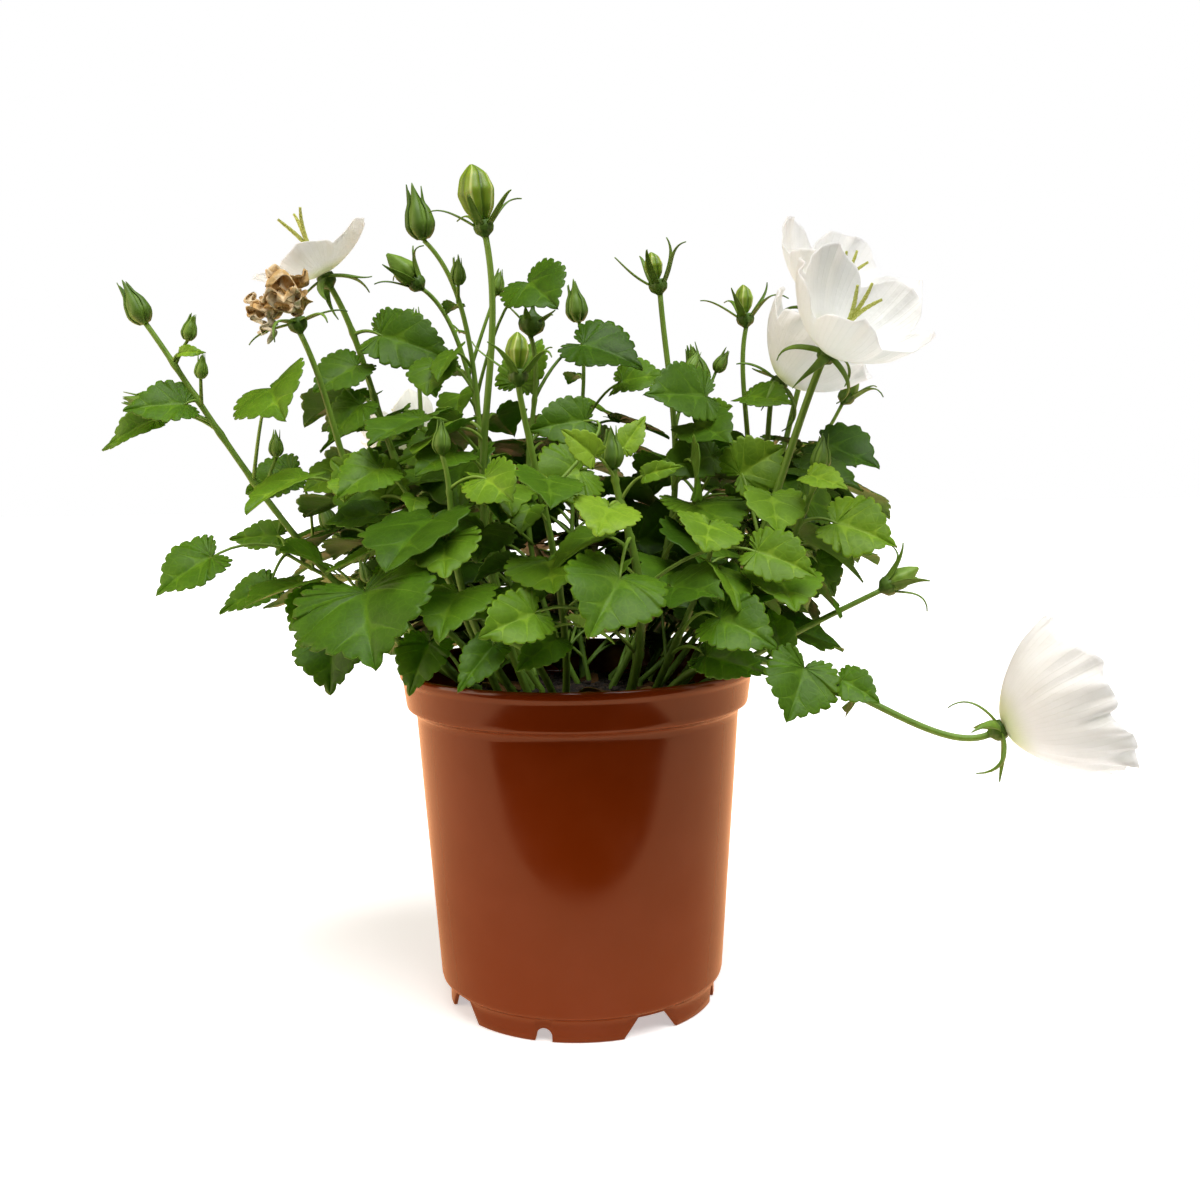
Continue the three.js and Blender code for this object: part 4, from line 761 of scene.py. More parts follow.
def add_leaf(plant, leaf):
    """Keeps a leaf and takes up its room."""
    blade, stalk, room = leaf_balls(leaf)
    take(blade, room, plant["index"])
    take(stalk, 1, plant["index"])
    plant["grown"].append(leaf)


print("three draws:", [round(value, 3) for value, _ in zip(seeded(7), range(3))])

# %% Listed leaves take up their room
VIEWER = np.array([0, -1.0, 0])
for stem, place, base, tip, width in NAMED_LEAVES:
    base, tip = spot(base), spot(tip)
    outward = unit(base * (1, 1, 0))
    facing = unit(outward * 0.3 + VIEWER * 0.75 + UP * 0.5)
    attach = stem_point(PLANTS[stem]["route"], place)
    leaf = dict(attach=attach, base=base, tip=tip, facing=facing, width=width, named=True)
    PLANTS[stem]["grown"].append(leaf)

for plant in PLANTS.values():
    along = [stem_point(plant["route"], (i + 1) / 32) for i in range(32)]
    take(np.array(along), plant["radii"][0] + 0.4, plant["index"])
    hand_placed, plant["grown"] = plant["grown"], []
    for leaf in hand_placed:
        add_leaf(plant, leaf)
    bloom, tip = BLOOMS.get(plant["head"]), plant["route"][3]
    if bloom:
        ahead = CALYX_DEPTH + bloom["depth"] * 0.6
        take(tip + plant["axes"][2] * ahead, max(bloom["radius"], bloom["depth"] * 0.6), plant["index"])
    elif plant["reach"] is not None:
        take((tip + plant["reach"]) / 2, np.linalg.norm(tip - plant["reach"]) * 0.6, plant["index"])
for stem, place, foot, top in SIDE_BUDS:
    take((spot(foot) + spot(top)) / 2, 7, PLANTS[stem]["index"])

print("balls taken up:", sum(len(at) for at in taken_at))

# %% Grow the leaves of the solids
draw = seeded(7)
for plant in PLANTS.values():
    count, start, stop = plant["leaves"]
    for step in range(count):
        place = mix(start, stop, (step + 0.5) / count)
        length = mix(30, 15, place) * (0.85 + 0.3 * next(draw))
        leaf = rule_leaf(plant, place, plant["index"] * 1.9 + step * GOLDEN_ANGLE, length)
        if leaf:
            add_leaf(plant, leaf)
print("leaves of the solids:", sum(len(p["grown"]) for p in PLANTS.values()))

# %% [markdown]
# ## More leaves
#
# A real clump is fuller than the solids are: low on every stem sit smaller leaves, one behind the
# other. Scattering copies of one leaf would fill it as well, but the copies would cut through
# stems. So they grow by the same rule, with less room between them, and stay inside the clump.
# Those that would stand before a leaf, stem or bloom that the picture shows are left out. The last
# cell lifts leaves whose balls would touch the pot's rim.

# %% What is in the way
FRONT_CLEARANCE, FRONT_LIMIT, FRONT_HALF = 131.0, -86.0, 12.0
TOWARDS_CAMERA, CREAM_BELL_SIZE, STEM_SIZE = 0.13, 22.0, 6.0
shown = [leaf for plant in PLANTS.values() for leaf in plant["grown"] if leaf.get("named")]
shown = [leaf for leaf in shown if leaf["tip"][1] < -20]
shown_at = np.array([mix(leaf["base"], leaf["tip"], BLADE_CENTRE) for leaf in shown])
shown_size = np.array([np.linalg.norm(leaf["base"] - leaf["tip"]) for leaf in shown])
shown_stem = route_point(PLANTS["front_shoot"]["route"], np.linspace(0.1, 0.8, 8))
cream_bell = mix(PLANTS["cream_rear"]["reach"], np.array(CAMERA_AT), TOWARDS_CAMERA)
shown_at = np.concatenate([shown_at, shown_stem, [cream_bell]])
stem_sizes = np.full(len(shown_stem), STEM_SIZE)
shown_size = np.concatenate([shown_size, stem_sizes, [CREAM_BELL_SIZE]])


def in_the_way(leaf, blade):
    """True for a leaf low in front, out past the front, or before a leaf or stem that is seen."""
    low = leaf["base"][1] < FRONT_HALF and min(leaf["base"][2], leaf["tip"][2]) < FRONT_CLEARANCE
    middle, length = blade[0], np.linalg.norm(leaf["tip"] - leaf["base"])
    apart = np.hypot(shown_at[:, 0] - middle[0], shown_at[:, 2] - middle[2])
    over_it = apart <= 0.42 * (shown_size + length)
    hidden = over_it & (middle[1] < shown_at[:, 1] + 3)
    return low or blade[:, 1].min() < FRONT_LIMIT or bool(hidden.any())


print(len(shown_at), "places are kept in view")

# %% Grow the inner leaves
INNER_ROUNDS, LOOSE_ROUNDS, BASAL_ROUNDS, BASAL_FROM = 16, 9, 5, -6.0
SPRAYS, SPRAY_FOOT = ("far_left", "far_right", "right_bud", "low_left"), 0.2
HIGH_LEAVES = ("upright_left", "nodding_left", "rear_left_bud", "twin_buds", "rear_bud")
HIGH_LEAVES += ("left_fan", "back_middle")
HIGH_SHARES = (0.55, 0.68, 0.8)
LOOSE_FACING, LOOSE_TIP = 0.33, 0.16
loose = np.random.default_rng(5)
inner_leaves = []


def add_inner(plant, place, heading, length, room_share):
    """Grows one more leaf if it finds room, and turns it a little out of the rule's attitude."""
    leaf = rule_leaf(plant, place, heading, length, room_share)
    if not leaf:
        return
    leaf["facing"] = unit(leaf["facing"] + LOOSE_FACING * loose.normal(size=3))
    leaf["tip"] = leaf["tip"] + LOOSE_TIP * length * loose.normal(size=3)
    blade, stalk, room = leaf_balls(leaf)
    if not in_the_way(leaf, blade):
        take(blade, room * 0.45, plant["index"])
        take(stalk, 0.6, plant["index"])
        inner_leaves.append(leaf)


for step in range(INNER_ROUNDS):
    for plant in PLANTS.values():
        place = mix(0.04, 0.62, (step * 0.618 + 0.3 * next(draw)) % 1)
        length = mix(25, 14, place) * (0.75 + 0.5 * next(draw))
        if plant["name"] not in SPRAYS or place < SPRAY_FOOT:
            heading = plant["index"] * 2.3 + step * GOLDEN_ANGLE + 1
            add_inner(plant, place, heading, length, 0.45 if step < LOOSE_ROUNDS else 0.25)
for step, share in enumerate(HIGH_SHARES):
    for name in HIGH_LEAVES:
        heading = PLANTS[name]["index"] * 2.9 + step * GOLDEN_ANGLE
        length = mix(15, 9, step / 2) * mix(0.8, 1.2, next(draw))
        add_inner(PLANTS[name], share, heading, length, 0.3)
for step in range(BASAL_ROUNDS):
    for plant in PLANTS.values():
        if plant["route"][0][1] > BASAL_FROM:
            heading = math.pi / 2 + 1.6 * math.cos(plant["index"] + 2 * step)
            add_inner(plant, mix(0.01, 0.1, next(draw)), heading, mix(17, 25, next(draw)), 0.15)
print("inner leaves:", len(inner_leaves))

# %% Lift leaves over the rim
RIM_CLEARANCE = 3.0
lifted = 0
for leaf in inner_leaves:
    blade, stalk, room = leaf_balls(leaf)
    points = np.concatenate([blade, stalk])
    from_axis = np.hypot(points[:, 0], points[:, 1])
    over_rim = (from_axis > WALL_INSIDE + 1) & (from_axis < RIM_RADIUS + 2)
    lack = np.max(POT_HEIGHT + RIM_CLEARANCE - points[over_rim, 2], initial=0.0)
    leaf["base"] = leaf["base"] + UP * lack
    leaf["tip"] = leaf["tip"] + UP * lack
    lifted += lack > 0
print(int(lifted), "of them lifted over the pot's rim")

# %% [markdown]
# ## Green tissue
#
# Stems, stalks, calyces and closed buds are one soft green skin with fine ridges. One material
# serves them all: each surface carries a tone, from dark sepals to pale young stems, and a colour
# ramp turns it into green. Noise drawn out along the stem gives it streaks.

# %% Green tissue material
# Soft skin with a wax bloom: half rough, so its shine is broad, with streaks drawn out upwards.
STREAK, DRAWN_OUT, RIDGE = 2.5, (1, 1, 0.15), 0.8
green, green_shader = finish("fresh_green_stem_skin", {"Roughness": 0.5, "Specular IOR Level": 0.4})
where = add(green, "TexCoord", {}, "Object")
upwards = add(green, "Mapping", {"Vector": where, "Scale": DRAWN_OUT})
streaks = add(green, "TexNoise", {"Vector": upwards, "Scale": repeats(STREAK), "Detail": 4.0}, "Fac")
lively = add(green, "Math", {0: streaks, 1: 0.35, 2: -0.17}, operation="MULTIPLY_ADD")
tone = add(green, "Attribute", {}, "Fac", attribute_name="tone")
shade = add(green, "Math", {0: tone, 1: lively}, operation="ADD")
SKIN_GREENS = [(0.0, "#233c0a"), (0.3, "#43651a"), (0.6, "#74982f"), (1.0, "#a9c25a")]
skin_colour = add(green, "ValToRGB", {"Fac": shade}, stops=SKIN_GREENS)
ridges = add(green, "TexNoise", {"Vector": where, "Scale": repeats(RIDGE), "Detail": 4.0}, "Fac")
skin_bump = add(green, "Bump", {"Height": ridges, "Distance": 0.06 * MM, "Strength": 0.3})
fill(green, green_shader, {"Base Color": skin_colour, "Normal": skin_bump})
print(green.name, "has", len(green.node_tree.nodes), "nodes")

# %% [markdown]
# ## Leaf blades
#
# The blades are heart-shaped, with rounded teeth. Side veins run from the midrib out to the teeth
# and are paler than the green between them. Every point of a blade knows how far out from the
# midrib it lies and how far along, so lines at even steps along the blade become veins. A fine
# network of cells, about 1.3 mm wide, stands for the smallest veins.

# %% Leaf material
# A living leaf is satin: its shine is broad and weak, and a little light goes through it. The eye
# gets soft highlights, paler veins and a fine net. The dry leaf is dull and brown.
VEINS = 6
VEIN_NET, CLOUD, PUCKER = 2.4, 9.0, 4.0
BLADE = {
    "Specular IOR Level": 0.18,
    "Subsurface Weight": 0.08,
    "Subsurface Scale": 0.002,
    "Subsurface Radius": (0.6, 1.0, 0.2),
}


def leaf_material(name, stops, underside, roughness):
    """A blade: a ramp of greens, on which the tone, slow noise, the veins, a fine cell network and
    the thin rim each add a step, and a paler underside. A side vein is where the place along the
    blade, counted in veins, is whole. The veins get slimmer outwards."""
    material, shader = finish(name, dict(BLADE, Roughness=roughness))
    place = add(material, "Attribute", {}, "Vector", attribute_name="place")
    tone = add(material, "Attribute", {}, "Fac", attribute_name="tone")
    where = add(material, "TexCoord", {}, "Object")
    across, along, top = add(material, "SeparateXYZ", {0: place}, None)
    out = add(material, "Math", {0: across}, operation="ABSOLUTE")
    counted = add(material, "Math", {0: along, 1: float(VEINS)}, operation="MULTIPLY")
    turns = add(material, "Math", {0: counted, 1: 0.5}, operation="PINGPONG")
    spread = add(material, "Math", {0: out, 1: 0.02}, operation="ADD")
    from_vein = add(material, "Math", {0: turns, 1: spread}, operation="MULTIPLY")
    width = add(material, "Math", {0: 1.15, 1: out}, operation="SUBTRACT")
    slimmer = add(material, "Math", {0: from_vein, 1: width}, operation="DIVIDE")
    side_veins = add(material, "MapRange", {0: slimmer, 1: 0.006, 2: 0.036, 3: 1.0, 4: 0.0}, **SMOOTH)
    midrib = add(material, "MapRange", {0: out, 1: 0.01, 2: 0.06, 3: 1.0, 4: 0.0}, **SMOOTH)
    veins = add(material, "Math", {0: side_veins, 1: midrib}, operation="MAXIMUM")
    mesh_of_veins = {"Vector": where, "Scale": repeats(VEIN_NET)}
    edge = add(material, "TexVoronoi", mesh_of_veins, "Distance", feature="DISTANCE_TO_EDGE")
    net = add(material, "MapRange", {0: edge, 1: 0.0, 2: 0.16, 3: 1.0, 4: 0.0}, **SMOOTH)
    rim = add(material, "MapRange", {0: out, 1: 0.92, 2: 1.0, 3: 0.0, 4: 1.0}, **SMOOTH)
    clouds = {"Vector": where, "Scale": repeats(CLOUD), "Detail": 4.0}
    shade = add(material, "TexNoise", clouds, "Fac")
    shade = add(material, "Math", {0: shade, 1: 0.36, 2: -0.18}, operation="MULTIPLY_ADD")
    # The tone adds each leaf's own step; on living leaves it also holds the painted light and shade from
    # leaf_tone.
    for part, step in ((veins, 0.15), (net, 0.05), (rim, 0.08), (tone, 1.0)):
        shade = add(material, "Math", {0: part, 1: step, 2: shade}, operation="MULTIPLY_ADD")
    base = add(material, "ValToRGB", {"Fac": shade}, stops=stops)
    below = add(material, "Math", {0: 1.0, 1: top}, operation="SUBTRACT")
    paler = add(material, "Math", {0: below, 1: 0.55}, operation="MULTIPLY")
    base = add(material, "Mix", {0: paler, 6: base, 7: colour(underside)}, 2, **IN_COLOUR)
    height = add(material, "TexNoise", {"Vector": where, "Scale": repeats(PUCKER), "Detail": 4.0}, "Fac")
    for part, depth in ((net, -0.12), (veins, -0.4)):
        height = add(material, "Math", {0: part, 1: depth, 2: height}, operation="MULTIPLY_ADD")
    bump = add(material, "Bump", {"Height": height, "Distance": 0.4 * MM, "Strength": 0.45})
    fill(material, shader, {"Base Color": base, "Normal": bump})
    return material


GREENS = [(0.0, "#1b3204"), (0.3, "#304f08"), (0.55, "#486c11"), (0.8, "#64891c"), (1.0, "#86a92c")]
blade_green = leaf_material("living_leaf_blade", GREENS, "#6c8a3a", 0.45)
BROWNS = [(0.0, "#2a1a0c"), (0.5, "#5b3f1f"), (1.0, "#8a6a3a")]
dry_blade = leaf_material("dry_fallen_leaf", BROWNS, "#6d5433", 0.85)
print(blade_green.name, "has", len(blade_green.node_tree.nodes), "nodes")

# %% [markdown]
# ### The blade as a surface
#
# A blade could be a flat cut-out with its teeth painted on. Here it is a closed skin with an upper
# and a lower face, because the teeth and the hollow between two veins show against the light. Its
# rows follow the side veins, so that the veins of the material run along the mesh.

# %% Leaf surface
PLUMP, VEIN_BEND, TOOTH_SIZE = 0.24, 1.25, 0.1
MIDDLE_THICKNESS, THINNER_OUT = 0.4, 0.2
ACROSS_FINE = np.array([0, 0.1, 0.38, 0.68, 0.92, 1])
ACROSS_COARSE = np.array([0, 0.12, 0.55, 0.93, 1])
LEAST_MOVES, MOST_MOVES = (0, 0.02, -0.16, -0.2), (6.28, 0.065, 0.12, 0.2)


def leaf_surface(surface, leaf, tone, rng, slot=1, sturdy=True):
    """A blade and its stalk. Across the blade the points run from the midrib (0) to the edge (1),
    along it they follow the side veins: each line starts on the midrib below where it ends."""
    length = np.linalg.norm(leaf["tip"] - leaf["base"])
    teeth = (15 if length > 24 else 12 if length > 15 else 9) if sturdy else 8
    each = 4 if sturdy else 3
    s = np.linspace(0, 1, teeth * each + 1)
    lean = teeth * s
    depth = rng.uniform(0.7, 1.3, teeth + 1)[np.minimum(lean.astype(int), teeth)]
    wave = np.abs(np.sin(np.pi * (lean + 0.12 * np.sin(2 * np.pi * lean)))) ** 0.6 * depth - 0.62
    wave *= np.clip(s / 0.1, 0, 1) * np.clip((1 - s) / 0.03, 0, 1)
    edge = half_outline(s, leaf["width"], wave, TOOTH_SIZE)
    smooth = half_outline(s, leaf["width"], np.zeros_like(s), 0)
    edge[:, 0] *= 1 + PLUMP * np.sin(np.pi * np.clip(2 * s - 1, 0, 1))
    rib = np.maximum.accumulate(np.maximum(0.02 * s, smooth[:, 1] - 0.75 * smooth[:, 0]))
    half = ACROSS_FINE if sturdy else ACROSS_COARSE
    rho = np.concatenate([-half[:0:-1], half])
    sheet = np.concatenate([rho, rho[::-1]])
    top = np.concatenate([np.ones(len(rho)), np.zeros(len(rho))])
    out = np.abs(sheet)
    x = sheet[None] * edge[:, :1]
    y = mix(rib[:, None], edge[:, 1:], out[None] ** VEIN_BEND)
    wave_turn, wave_size, droop, twist = rng.uniform(LEAST_MOVES, MOST_MOVES)
    pucker = 0.016 * np.abs(np.sin(np.pi * VEINS * s))[:, None] * np.sin(np.pi * out)[None]
    pucker = pucker * np.clip(1.6 * s, 0.15, 1)[:, None]
    ripple = wave_size * np.sin(2 * np.pi * 1.8 * s + wave_turn + 1.5)[:, None]
    ripple = ripple * out[None] ** 2 * np.where(sheet > 0, 1, np.cos(wave_turn))[None]
    bend = droop * y * y + twist * x * y - 0.012 * np.exp(-((out / 0.09) ** 2))[None]
    thick = (MIDDLE_THICKNESS - THINNER_OUT * out) / 2
    lift = (pucker + ripple + bend) * length + np.where(top > 0, thick, -thick)[None]
    points = on_blade(leaf, x, y, lift)
    place = np.stack(np.broadcast_arrays(sheet[None], s[:, None], top[None]), axis=-1)
    surface.tube(points, place, tone, slot)
    if "attach" in leaf:
        stalk_surface(surface, leaf, length, tone)


def stalk_surface(surface, leaf, length, tone):
    """The stalk: a curve of the second degree from the stem through the bend to the notch."""
    ahead = unit(leaf["tip"] - leaf["base"])
    normal = square_to(leaf["facing"], ahead)
    start, stop = leaf["attach"], leaf["base"] + ahead * 0.05 * length - normal * 0.25
    pull = 2 * stalk_bend(leaf) - (start + stop) / 2
    t = np.linspace(0, 1, 10)[:, None]
    path = (1 - t) ** 2 * start + 2 * t * (1 - t) * pull + t * t * stop
    guide = np.cross(stop - start, UP)
    guide = unit(guide) if np.linalg.norm(guide) > 0.5 else np.array([1.0, 0, 0])
    radii = mix(0.8, 0.45, np.sqrt(t[:, 0])) * (0.7 + 0.012 * length)
    # The stalk takes part of its blade's tone, and with it that tone's painted light and shade.
    surface.tube(swept(path, radii, 7, guide), tone=0.45 + 0.3 * tone, slot=0)


print("a large blade is", 2 * len(ACROSS_FINE) - 1, "points wide on each face")

# %% [markdown]
# ## Stems, calyces and buds
#
# These green parts could each be a shape of its own. But they are either turned round an axis or
# are narrow strips, so two functions make them all: one turns a profile, which a sliding average
# has rounded, and one lays a folded strip along a line.


# %% Turned shapes and strips
PROFILE_STEPS, BLUR = 81, 6
STRIP_RHO = np.array([-1, -0.5, 0, 0.5, 1])
STRIP_SHEET = np.concatenate([STRIP_RHO, STRIP_RHO[::-1]])


def along_profile(knots, rows):
    """Radius and height of a turned shape: straight lines between the knots, then rounded by
    averaging each point with its neighbours."""
    height, radius = np.array(knots, float).T
    fine = np.linspace(height[0], height[-1], PROFILE_STEPS)
    rough = np.interp(fine, height, radius)
    padded = np.concatenate([np.full(BLUR, rough[0]), rough, np.full(BLUR, rough[-1])])
    weights = np.hanning(2 * BLUR + 3)[1:-1]
    rounded = np.convolve(padded, weights / weights.sum(), "same")[BLUR:-BLUR]
    rounded[0], rounded[-1] = rough[0], rough[-1]
    picked = np.linspace(height[0], height[-1], rows)
    return picked, np.interp(picked, fine, rounded)


def turned_shape(surface, origin, axes, height, radius, columns, ribs, rib, tone, twist=0.0):
    """A shape turned round an axis, its radius times one plus rib times cos(ribs x turn)."""
    turn = np.arange(columns) / columns * 2 * np.pi
    share = (height - height[0]) / (height[-1] - height[0])
    grid = radius[:, None] * (1 + rib * np.cos(ribs * turn))[None]
    points = turned_ring(origin, axes, grid, turn[None] + twist * share[:, None], height[:, None])
    round_ = np.broadcast_to(np.cos(ribs * turn)[None], grid.shape)
    along = np.broadcast_to(share[:, None], grid.shape)
    surface.tube(points, np.stack([round_, along, np.ones(grid.shape)], axis=-1), tone)


def strip(surface, middle, along, widths, thickness, fold, tone):
    """A narrow blade: across it the points run along a direction, and over its face they rise
    with the distance from the middle, which folds it like a keel."""
    path = unit(np.gradient(middle, axis=0))
    face = unit(np.cross(along, path))
    offset = np.repeat([0.5, -0.5], len(STRIP_RHO)) * thickness
    half = np.asarray(widths)[:, None] / 2
    points = middle[:, None] + along[:, None] * (half * STRIP_SHEET[None])[..., None]
    lift = offset[None] + fold * np.abs(STRIP_SHEET)[None] * half
    surface.tube(points + face[:, None] * lift[..., None], tone=tone)


print("a profile of", along_profile([(0, 1), (1, 2)], 5)[0].tolist())

# %% [markdown]
# ### Closed buds
#
# A closed bud is a green drop with the five sepals laid round it, slightly turned, and their
# points stand free above it. Each sepal is a patch wrapped round the drop, a little off its skin,
# so that its edge casts a fine shadow. A bump map would leave the outline smooth.

# %% Closed buds
BUD_KNOTS = [(0.12, 0.2), (0.3, 0.29), (0.62, 0.235), (0.82, 0.13), (1, 0.03)]
FREE_FROM, FREE_LENGTH, SKIN_GAP, BUD_TURN = 0.78, 0.38, 0.022, 0.45


def closed_bud(surface, foot, top, start, stem_radius, rng, tone):
    """A green bud: a drop, and five sepals laid round it whose points stand out above it."""
    length = np.linalg.norm(top - foot)
    axes = axes_along(top - foot, start)
    height, radius = along_profile([(0, stem_radius / length), *BUD_KNOTS], 14)
    turned_shape(surface, foot, axes, height * length, radius * length, 20, 5, 0.04, tone + 0.12)
    k = np.linspace(0, 1, 16)
    skin = np.repeat([0.014, -0.02], len(STRIP_RHO))
    bulge = np.concatenate([0.02 * (1 - STRIP_RHO**2), 0 * STRIP_RHO])
    for j in range(5):
        up = 0.04 + rng.uniform(1.02, 1.16) * k
        free = np.clip((up - FREE_FROM) / FREE_LENGTH, 0, 1)
        out = np.interp(up, height, radius) + SKIN_GAP
        last = np.interp(FREE_FROM, height, radius) + SKIN_GAP
        out = np.where(free > 0, mix(last, rng.uniform(0.02, 0.2), free**0.8), out)
        turn = (j + 0.5) / 5 * 2 * np.pi + rng.uniform(-0.1, 0.1) + BUD_TURN * up
        width = 0.19 * (1 - k) ** 0.8 * np.minimum(1, 0.35 + 3 * k) + 0.008
        wrap = np.minimum(width / np.maximum(out, 0.03), 0.64)
        off_skin = (skin[None] + bulge[None]) * (1 - 0.6 * k)[:, None]
        grid = np.maximum(out[:, None] + off_skin, 0.004) * length
        around = turn[:, None] + wrap[:, None] * STRIP_SHEET
        points = turned_ring(foot, axes, grid, around, up[:, None] * length)
        surface.tube(points, tone=tone + rng.uniform(-0.05, 0.05))


def side_bud(surface, attach, foot, top, rng):
    """A small bud on a thin stalk of its own."""
    t = np.linspace(0, 1, 9)[:, None]
    path = (1 - t) ** 2 * attach + 2 * t * (1 - t) * ((attach + foot) / 2 + UP) + t * t * foot
    guide = np.array([0, 1.0, 0])
    surface.tube(swept(path, mix(0.7, 0.55, t[:, 0]), 7, guide), tone=0.6)
    closed_bud(surface, foot, top, guide, 0.55, rng, 0.5)


print("a bud's sepals stand free from", FREE_FROM, "of its height")

# %% [markdown]
# ### Calyces
#
# Under a bloom sits a ribbed green cup with five narrow sepals. They point up beside a bud and
# bend back below an open flower, each a little in its own way. So a sepal is a strip through
# places that lie out and up from the cup, and one angle, which grows along it, bends it.

# %% Calyces
SLENDER = 0.8
BLOOM_SEPAL_WIDTH, BUD_SEPAL_WIDTH, SEPAL_THICKNESS, SEPAL_FOLD = 2.9, 2.4, 0.35, 0.25
BEND_CLOSED, BEND_OPEN, BLOOM_CURVE, BUD_CURVE = 0.35, 2.05, 0.4, 0.12
TURNED_IN = {"right_lime": -0.25}
OPENING_KNOTS = [(0.3, 0.2), (0.5, 0.25), (0.8, 0.15), (1, 0.03)]


def sepal(surface, origin, axes, turn, out, up, width, tone, rng):
    """A sepal: a strip through places out from the axis and up along it, with a fine curled tip."""
    k = np.linspace(0, 1, len(out))
    drift = rng.uniform(-0.25, 0.25) * k**2
    middle = turned_ring(origin, axes, out, turn + drift, up)
    side, across, ahead = axes
    round_ = across * math.cos(turn) - side * math.sin(turn)
    lean = rng.uniform(-0.5, 0.5) * k**2
    along = unit(round_ * np.cos(lean)[:, None] + ahead * np.sin(lean)[:, None])
    along = square_to(along, unit(np.gradient(middle, axis=0)))
    widths = width * (1 - k) ** 0.85 * (1 + 0.35 * np.sin(np.pi * k)) + 0.22
    strip(surface, middle, along, widths, SEPAL_THICKNESS, SEPAL_FOLD, tone)


def cup_profile(neck, swelling):
    """The calyx cup's section, from the stem's radius out to the cup and in a little at its rim."""
    knots = [(-0.06, neck * 0.9), (0.04, neck), (0.3, 2.6 * swelling)]
    knots += [(0.62, 3.05 * swelling), (1, 2.7 * swelling)]
    return along_profile(knots, 12)


def calyx(surface, plant, start, rng):
    """The cup under a bloom or an open bud, and its five sepals, bent back by the head's spread."""
    head, origin = plant["head"], plant["route"][3]
    bloom = BLOOMS.get(head)
    facts = dict(spread=bloom["spread"], length=15, swelling=1) if bloom else SEPALS[head]
    swelling, reach = facts["swelling"], facts["length"]
    depth = CALYX_DEPTH * swelling
    axes = axes_along(plant["axes"][2], start)
    share, radius = cup_profile(plant["radii"][1] * SLENDER * 1.02, swelling)
    turned_shape(surface, origin, axes, share * depth, radius, 30, 10, 0.07, 0.36)
    bend = mix(BEND_CLOSED, BEND_OPEN, facts["spread"])
    width = BLOOM_SEPAL_WIDTH if bloom else BUD_SEPAL_WIDTH
    k = np.linspace(0, 1, 14)
    curve = BLOOM_CURVE * (k - 0.5) if bloom else TURNED_IN.get(plant["name"], BUD_CURVE) * k
    for j in range(5):
        own = rng.uniform(-0.12, 0.12)
        angle = bend + own + curve + rng.uniform(-0.2, 0.5) * k**4
        out = CALYX_RIM * 0.85 * swelling + k * reach * np.sin(angle)
        up = depth * 0.8 + k * reach * np.cos(angle)
        sepal(surface, origin, axes, (j + 0.5) / 5 * 2 * np.pi, out, up, width, 0.5 + own * 0.5, rng)
    if head == "openingBud":
        length = np.linalg.norm(plant["reach"] - origin)
        height, radius = along_profile(OPENING_KNOTS, 10)
        height, radius = height * length, radius * length
        turned_shape(surface, origin, axes, height, radius, 20, 5, 0.08, 0.62, twist=0.3)
    if head == "capsule":
        knots = [(depth * 0.9, 3.4), (depth + 0.8, 2.4), (depth + 1.4, 0.9), (depth + 6, 0.35)]
        height, radius = along_profile(knots, 8)
        turned_shape(surface, origin, axes, height, radius, 12, 3, 0.05, 0.3)


print("sepals are", BLOOM_SEPAL_WIDTH, "mm wide under a bloom")

# %% [markdown]
# ### Stems
#
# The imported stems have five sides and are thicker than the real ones, so that they are closed
# and cost few triangles. Here they are round with five faint ridges, four fifths as thick, and
# swell where a stalk joins.

# %% Stem surface
STEM_ROWS, STEM_SIDES, STEM_RIDGE = 46, 15, 0.07
JOINT_SWELLING, JOINT_LENGTH = 0.22, 0.014
FOOT_TONE, LOW_TONE, HIGH_TONE, END_TONE = 0.4, 0.42, 0.6, 0.58


def carried_start(plant):
    """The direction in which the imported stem's last ring starts: a direction kept square to the
    path from section to section, without twisting."""
    foot = plant["route"][0] - UP * ROOT_DEPTH
    path = np.array([foot, *route_point(plant["route"], np.arange(STEM_STEPS + 1) / STEM_STEPS)])
    start = None
    for i in range(len(path)):
        tangent = unit(path[min(i + 1, len(path) - 1)] - path[max(i - 1, 0)])
        if start is None:
            start = np.array([1.0, 0, 0]) if abs(tangent[2]) > 0.9 else UP
        start = square_to(start, tangent)
    return start


def stem_surface(surface, plant, rng):
    """A stem: its route with a foot in the soil, thicker where stalks join, and its head."""
    route, (low, high) = plant["route"], np.array(plant["radii"]) * SLENDER
    t = np.linspace(0, 1, STEM_ROWS)
    path = route_point(route, t)
    radii = mix(low, high, t)
    for leaf in plant["grown"]:
        joint = float(np.argmin(np.linalg.norm(path - leaf["attach"], axis=1))) / (STEM_ROWS - 1)
        radii = radii + JOINT_SWELLING * low * np.exp(-(((t - joint) / JOINT_LENGTH) ** 2))
    foot = route[0] - UP * ROOT_DEPTH
    path = np.concatenate([[foot, foot + UP * ROOT_DEPTH / 2], path])
    radii = np.concatenate([[low, low], radii])
    guide = unit(np.cross(route[3] - route[0] + (0.3, 0, 0), UP))
    tone = np.concatenate([[FOOT_TONE] * 3, mix(LOW_TONE, HIGH_TONE, t), [END_TONE]])
    points = swept(path, radii, STEM_SIDES, guide, 5, STEM_RIDGE)
    surface.tube(points, tone=np.repeat(tone, STEM_SIDES))
    start = carried_start(plant)
    if plant["head"] == "bud":
        closed_bud(surface, route[3], plant["reach"], start, high, rng, 0.42)
    elif plant["head"] != "none":
        calyx(surface, plant, start, rng)


print("stems are", SLENDER, "times as thick as the solids' stems")
